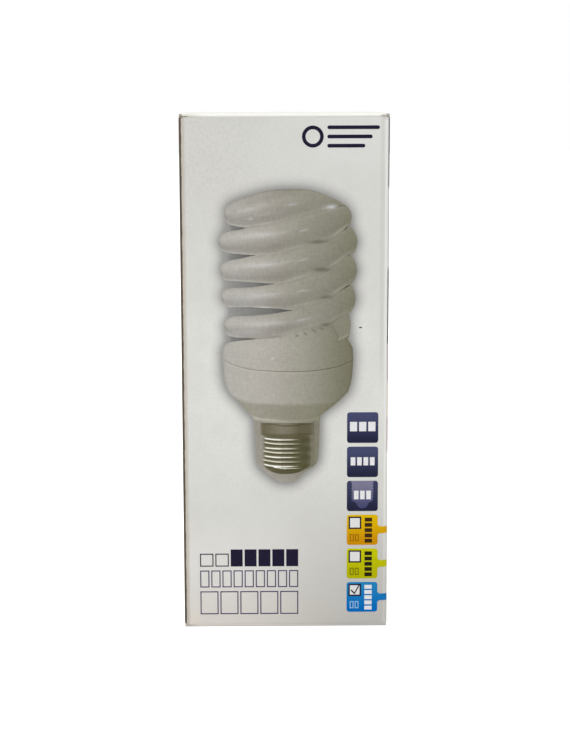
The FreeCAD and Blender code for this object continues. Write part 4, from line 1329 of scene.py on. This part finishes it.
def haloPicture():
    loop = pictureOutline()
    count, rings, span = len(loop), halo["rings"], halo["span"]
    inner, outer = halo["tones"][0][0], halo["tones"][-1][0]
    normals = []
    for i in range(count):
        a, b = loop[i - span], loop[(i + span) % count]
        dx, dz = b[0] - a[0], b[1] - a[1]
        size = math.hypot(dx, dz)
        normals.append((dz / size, -dx / size))
    points, faces, colours = [], [], []
    for k in range(rings + 1):
        reach = inner + (outer - inner) * k / rings
        dim = toneAt(halo["tones"], reach)[0]
        for (x, z), (nx, nz) in zip(loop, normals):
            points.append(((x + nx * reach) * mm, (panel["y"] - halo["height"]) * mm, (z + nz * reach) * mm))
            colours.append(haloTone(x, z, dim))
    for k in range(rings):
        faces += ringFaces(k * count, (k + 1) * count, count)
    # its back lies on the panel
    base, last = len(points), rings * count
    for start in (0, last):
        points += [(x, panel["y"] * mm, z) for x, y, z in points[start:start + count]]
        colours += colours[start:start + count]
    for first, second in ((0, base), (base, base + count), (base + count, last)):
        faces += ringFaces(first, second, count)
    return inkSheet("haloPicture", (points, faces, colours), haloMaterial(), "ink_shade")


coilPicture()
gapPicture()
housingPicture()
capPicture()
haloPicture()
print("picture done")


# Lamp, as it stands in the carton

lamp = {
    "foot": 1.1,            # height of its contact over the carton's foot
    "coilTop": 113.4,
    "coilRadius": 22.75,
    "coilPitch": 22.2,
    "coilAngle": 262.0,
    "coilTurn": 835.135,
    "bridgeTurn": 150.0,
    "bridgeSteps": 30,
    "coilSteps": 170,
    "endSweep": 53.0,
    "endDrop": 9.0,
    "endRadius": 17.6,
    "tubeRadius": 4.6,
    "tubeSides": 28,
    "capBottom": 7.0,
    "capTop": 24.4,
    "capRadius": 13.2,
    "capWall": 0.3,
    "capFoot": (10.0, 4.2),
    "capTaper": 5.6,
    "capSides": 72,
    "capRows": 84,
    "threadPitch": 3.6,
    "threadDepth": 1.0,
    "threadSpan": (7.6, 19.4),
    "threadRunIn": 1.2,
    "footBead": 0.6,
    "wirePitch": 0.45,
    # painted shade and painted light of the wire's turns
    "wireShadeTones": (tint(120, 56, 24), tint(190, 104, 56)),
    # painted shade of the cover's vent slots
    "ventShade": tint(66, 62, 54),
    "ventCount": 36.0,
    "ventSpan": (0.3, 0.62, 0.08),
    "ventReach": (7.0, 10.5, 0.3),
    "sharpFrom": 32.0,      # a turned solid's edges stay sharp from this angle
}

# colour, its clouds, their scale, roughness, metal, relief
finishes = {
    "coatedGlass": (tint(240, 240, 235), tint(234, 234, 228), 0.08, 0.2, 0.0, 0.002),
    "lampPlastic": (tint(229, 227, 218), tint(224, 221, 211), 0.1, 0.36, 0.0, 0.006),
    "capMetal": (tint(204, 198, 184), tint(188, 180, 162), 0.15, 0.26, 1.0, 0.004),
    "contactMetal": (tint(192, 186, 172), tint(170, 162, 146), 0.3, 0.34, 1.0, 0.01),
    "capGlaze": (tint(28, 26, 30), tint(38, 34, 40), 0.2, 0.12, 0.0, 0.01),
    "canSleeve": (tint(40, 44, 60), tint(48, 52, 70), 0.3, 0.32, 0.0, 0.01),
    "laminate": (tint(178, 142, 86), tint(164, 128, 74), 0.4, 0.5, 0.0, 0.01),
    "ferrite": (tint(60, 58, 58), tint(46, 44, 44), 0.8, 0.6, 0.0, 0.01),
    "ringFerrite": (tint(70, 86, 70), tint(58, 72, 60), 0.8, 0.5, 0.0, 0.01),
    "epoxyBlack": (tint(30, 30, 32), tint(40, 40, 42), 0.9, 0.5, 0.0, 0.01),
    "filmRed": (tint(152, 46, 36), tint(134, 36, 28), 0.5, 0.38, 0.0, 0.01),
    "diodeBlack": (tint(34, 34, 36), tint(44, 44, 46), 0.9, 0.42, 0.0, 0.01),
}


def cloudedColour(recipe, colour, clouds, scale):
    return recipe.mix(recipe.ramp(recipe.noise(scale, 3.0), 0.35, 0.65), colour, clouds)


def livelyMaterial(name):
    # a plain finish with clouded colour and a fine grain
    colour, clouds, scale, roughness, metallic, relief = finishes[name]
    recipe = Recipe(name, roughness, metallic)
    recipe.colour(cloudedColour(recipe, colour, clouds, scale))
    recipe.bump(recipe.noise(scale * 9.0, 2.0), relief)
    return recipe


def coilPoint(turn, side):
    # the tube's centre after this many degrees down from the bridge
    radius = lamp["coilRadius"]
    height = lamp["coilTop"] - lamp["coilPitch"] * turn / 360.0
    if turn < lamp["bridgeTurn"]:
        radius *= math.sin(math.pi / 2 * math.sqrt(turn / lamp["bridgeTurn"]))
    if turn > lamp["coilTurn"]:
        k = (turn - lamp["coilTurn"]) / lamp["endSweep"]
        height -= lamp["endDrop"] * k * k
        radius -= (lamp["coilRadius"] - lamp["endRadius"]) * k * k * (3 - 2 * k)
    angle = math.radians(lamp["coilAngle"] - turn + (180.0 if side < 0 else 0.0))
    return (radius * math.cos(angle) * mm, radius * math.sin(angle) * mm, (lamp["foot"] + height) * mm)


def tubeTree():
    # a round tube along a path
    tree, start, end = treeOf("tubeOnPath", (
        ("Geometry", "NodeSocketGeometry"), ("Tube Radius", "NodeSocketFloat"),
        ("Sides", "NodeSocketInt"), ("Coating", "NodeSocketMaterial")))
    path = tree.nodes.new("GeometryNodeMeshToCurve")
    ring = tree.nodes.new("GeometryNodeCurvePrimitiveCircle")
    skin = tree.nodes.new("GeometryNodeCurveToMesh")
    skin.inputs["Fill Caps"].default_value = True
    linkAll(tree, (start["Geometry"], path.inputs["Mesh"]), (start["Sides"], ring.inputs["Resolution"]),
            (start["Tube Radius"], ring.inputs["Radius"]), (path.outputs[0], skin.inputs["Curve"]),
            (ring.outputs[0], skin.inputs["Profile Curve"]))
    finishTree(tree, skin.outputs[0], start["Coating"], end)
    return tree


def glassSpiral():
    bridge, coil = lamp["bridgeSteps"], lamp["coilSteps"]
    start, end = lamp["bridgeTurn"], lamp["coilTurn"] + lamp["endSweep"]
    turns = [start * (i / bridge) ** 2 for i in range(1, bridge + 1)]
    turns += [start + (end - start) * i / coil for i in range(1, coil + 1)]
    path = [coilPoint(turn, -1) for turn in reversed(turns)] + [coilPoint(turn, 1) for turn in [0.0] + turns]
    mesh = bpy.data.meshes.new("spiralPath")
    mesh.from_pydata(path, [(i, i + 1) for i in range(len(path) - 1)], [])
    coating = livelyMaterial("coatedGlass")
    coating.shader.inputs["Coat Weight"].default_value = 0.5
    coating.shader.inputs["Coat Roughness"].default_value = 0.06
    values = {"Tube Radius": lamp["tubeRadius"] * mm, "Sides": lamp["tubeSides"], "Coating": coating.material}
    tube = grow("smoothSpiral", mesh, tubeTree(), values)
    weld(tube.data, 1e-7, True)
    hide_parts("glass_spiral")
    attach(tube, "carton")


def capRadius(height, angle):
    # the shell's outer radius: a rounded foot, a bead, then the rolled thread
    low, high = lamp["threadSpan"]
    footRadius, footHeight = lamp["capFoot"]
    root = lamp["capRadius"] - lamp["threadDepth"]
    if height < lamp["capBottom"]:
        share = (height - footHeight) / (lamp["capBottom"] - footHeight)
        return footRadius + (root - footRadius) * math.sin(share * math.pi / 2)
    if height <= low:
        return root + lamp["threadDepth"] * max(0.0, 1.0 - (low - height) / lamp["footBead"])
    wave = 0.5 - 0.5 * math.cos(2 * math.pi * (height / lamp["threadPitch"]) + angle)
    reach = rise(min(height - low, high - height), 0.0, lamp["threadRunIn"])
    return lamp["capRadius"] - lamp["threadDepth"] * wave * reach


def capShell():
    # the same wave outside and inside the thin metal
    sides, rows = lamp["capSides"], lamp["capRows"]
    bottom, top = lamp["capBottom"], lamp["capTop"]
    heights = [lamp["capFoot"][1], lamp["capTaper"]]
    heights += [bottom + (top - bottom) * i / rows for i in range(rows + 1)]
    points = []
    for skin in (0.0, lamp["capWall"]):
        for height in heights:
            for j in range(sides):
                angle = 2 * math.pi * j / sides
                radius = capRadius(height, angle) - skin
                place = (radius * math.cos(angle), radius * math.sin(angle), lamp["foot"] + height)
                points.append([value * mm for value in place])
    inner, last = len(heights) * sides, (len(heights) - 1) * sides
    faces = ringFaces(0, inner, sides) + ringFaces(last, inner + last, sides)
    for start in range(0, last, sides):
        faces += ringFaces(start, start + sides, sides)
        faces += ringFaces(inner + start, inner + start + sides, sides)
    mesh = bpy.data.meshes.new("threadedShell")
    mesh.from_pydata(points, [], faces)
    mesh.materials.append(livelyMaterial("capMetal").material)
    weld(mesh, 1e-7, True)
    return onCarton("threadedShell", mesh, "cap_metal", "cap_shell")


def coverMaterial():
    # white plastic, with the vent slots round the cover's top painted as dark shade
    recipe = Recipe("coverPlastic", finishes["lampPlastic"][3])
    (x, y, z), facing = recipe.xyz()[1:]
    base = cloudedColour(recipe, *finishes["lampPlastic"][:3])
    around = recipe.product(recipe.math("ARCTAN2", y, x), lamp["ventCount"] / (2 * math.pi))
    slot = (recipe.math("FRACT", around), *lamp["ventSpan"])
    away = (recipe.fromCentre(x, y), *lamp["ventReach"])
    # painted shade where the vent slots open
    recipe.colour(recipe.patch(base, lamp["ventShade"], 1.0, slot, away, (facing[2], 0.6, 0.9)))
    recipe.bump(recipe.noise(1.2, 2.0), 0.006)
    return recipe.material


def windingMaterial():
    # enamelled wire, turn beside turn, with painted shade between the turns and painted light on their crowns
    recipe = Recipe("copperWire", 0.32, 0.75)
    x = recipe.xyz()[1][0]
    turns = recipe.math("SINE", recipe.product(x, 2 * math.pi / lamp["wirePitch"]))
    # painted shade between the turns, painted light on their crowns
    recipe.colour(recipe.mix(recipe.ramp(turns, -1.0, 0.4), *lamp["wireShadeTones"]))
    recipe.bump(turns, 0.06)
    return recipe.material


def roundedCopy(node, name, material, slot):
    # the turned solid's own form, with its facets shaded into one curve
    work = bmesh.new()
    work.from_mesh(nodes[node].data)
    bmesh.ops.remove_doubles(work, verts=work.verts, dist=1e-6)
    work.verts.index_update()
    points = [tuple(vert.co) for vert in work.verts]
    faces = [[vert.index for vert in face.verts] for face in work.faces]
    work.free()
    mesh = bpy.data.meshes.new(name)
    mesh.from_pydata(points, [], faces)
    mesh.shade_smooth()
    mesh.set_sharp_from_angle(angle=math.radians(lamp["sharpFrom"]))
    mesh.materials.append(material)
    return onCarton(name, mesh, slot, node)


glassSpiral()
capShell()
roundedCopy("tube_cover", "roundedCover", coverMaterial(), "lamp_plastic")
for node, name, finish, slot in (("ballast_housing", "roundedHousing", "lampPlastic", "lamp_plastic"),
                                 ("cap_contact", "roundedContact", "contactMetal", "contact_metal"),
                                 ("cap_insulator", "roundedInsulator", "capGlaze", "cap_glaze"),
                                 ("reservoir_capacitor", "roundedCan", "canSleeve", "capacitor_can")):
    roundedCopy(node, name, livelyMaterial(finish).material, slot)
for node, finish in (("circuit_board", "laminate"), ("choke_core", "ferrite"),
                     ("driver_toroid", "ringFerrite"), ("power_transistors", "epoxyBlack"),
                     ("film_capacitors", "filmRed"), ("rectifier_diodes", "diodeBlack")):
    dress(node, livelyMaterial(finish).material)
dress("choke_winding", windingMaterial())
print("lamp done")


# Floor, lamps, world and camera

studio = {
    # name, place, power and size of each lamp, which all look at one height over the floor
    "lights": (
        ("keyLamp", (-0.75, -1.05, 0.95), 9.0, 0.9),
        ("topLamp", (-0.1, 0.1, 1.25), 7.6, 0.9),
        ("fillLamp", (1.1, -0.7, 0.55), 2.2, 0.8),
    ),
    "aim": 0.07,
    "worldLight": 0.42,
    "floorReach": 4.0,
    "floorDrop": 0.00005,
    "floorTone": tint(245, 245, 245),
    "floorGlow": (0.6, 1.0),
    "glowReach": (90.0, 700.0),
}


def areaLight(name, place, power, size):
    data = bpy.data.lights.new(name, "AREA")
    data.energy = power
    data.shape = "DISK"
    data.size = size
    light = stand(name, data)
    light.location = place
    light.rotation_euler = (Vector((0, 0, studio["aim"])) - Vector(place)).to_track_quat("-Z", "Y").to_euler()


def floorMaterial():
    # a white sheet that keeps the carton's shadow, and grows to plain white further off
    sheet = Recipe("floorWhite", 0.9)
    sheet.colour(studio["floorTone"])
    sheet.sheen(0.0)
    x, y, z = sheet.xyz()[1]
    near, far = studio["floorGlow"]
    share = sheet.ramp(sheet.fromCentre(x, y), *studio["glowReach"])
    glow = sheet.math("ADD", near, sheet.product(share, far - near))
    path = sheet.tree.nodes.new("ShaderNodeLightPath")
    seen = sheet.math("MAXIMUM", path.outputs["Is Camera Ray"], path.outputs["Is Glossy Ray"])
    sheet.shader.inputs["Emission Color"].default_value = (1, 1, 1, 1)
    sheet.link(sheet.product(seen, glow), sheet.shader.inputs["Emission Strength"])
    return sheet.material


def layFloor():
    reach = studio["floorReach"]
    mesh = bpy.data.meshes.new("floor")
    corners = [(-reach, -reach, 0), (reach, -reach, 0), (reach, reach, 0), (-reach, reach, 0)]
    mesh.from_pydata(corners, [], [(0, 1, 2, 3)])
    mesh.materials.append(floorMaterial())
    floor = stand("floor", mesh)
    floor.location.z = -studio["floorDrop"]


def buildWorld():
    # plain white to the eye, and softer as a light
    world = bpy.data.worlds.new("studio")
    bpy.context.scene.world = world
    world.use_nodes = True
    tree = world.node_tree
    background = tree.nodes["Background"]
    background.inputs["Color"].default_value = (1, 1, 1, 1)
    path = tree.nodes.new("ShaderNodeLightPath")
    seen = tree.nodes.new("ShaderNodeMath")
    seen.operation = "MAXIMUM"
    tree.links.new(path.outputs["Is Camera Ray"], seen.inputs[0])
    tree.links.new(path.outputs["Is Transmission Ray"], seen.inputs[1])
    level = tree.nodes.new("ShaderNodeMapRange")
    tree.links.new(seen.outputs[0], level.inputs["Value"])
    level.inputs["To Min"].default_value = studio["worldLight"]
    level.inputs["To Max"].default_value = 1.0
    tree.links.new(level.outputs[0], background.inputs["Strength"])


eye = {
    "place": (-5.4, -509.0, 150.5),
    "yaw": 0.652,
    "pitch": -9.452,
    "roll": -0.159,
    "lens": 84.24,
    "shiftUp": 0.0181,
    "shiftRight": -0.0004,
}


def buildCamera():
    yaw, pitch, roll = (math.radians(eye[k]) for k in ("yaw", "pitch", "roll"))
    ahead = Vector((math.sin(yaw) * math.cos(pitch), math.cos(yaw) * math.cos(pitch), math.sin(pitch)))
    right = Vector((math.cos(yaw), -math.sin(yaw), 0))
    up = right.cross(ahead)
    rolledRight = right * math.cos(roll) + up * math.sin(roll)
    rolledUp = up * math.cos(roll) - right * math.sin(roll)
    data = bpy.data.cameras.new("eye")
    data.lens = eye["lens"]
    data.sensor_width = 36.0
    data.shift_y = eye["shiftUp"]
    data.shift_x = eye["shiftRight"]
    data.clip_start = 0.01
    camera = stand("eye", data)
    turn = Matrix((rolledRight, rolledUp, -ahead)).transposed().to_4x4()
    camera.matrix_world = Matrix.Translation(Vector(eye["place"]) * mm) @ turn
    bpy.context.scene.camera = camera


layFloor()
for light in studio["lights"]:
    areaLight(*light)
buildWorld()
buildCamera()
bpy.context.scene.view_settings.view_transform = "Standard"
print("studio done")
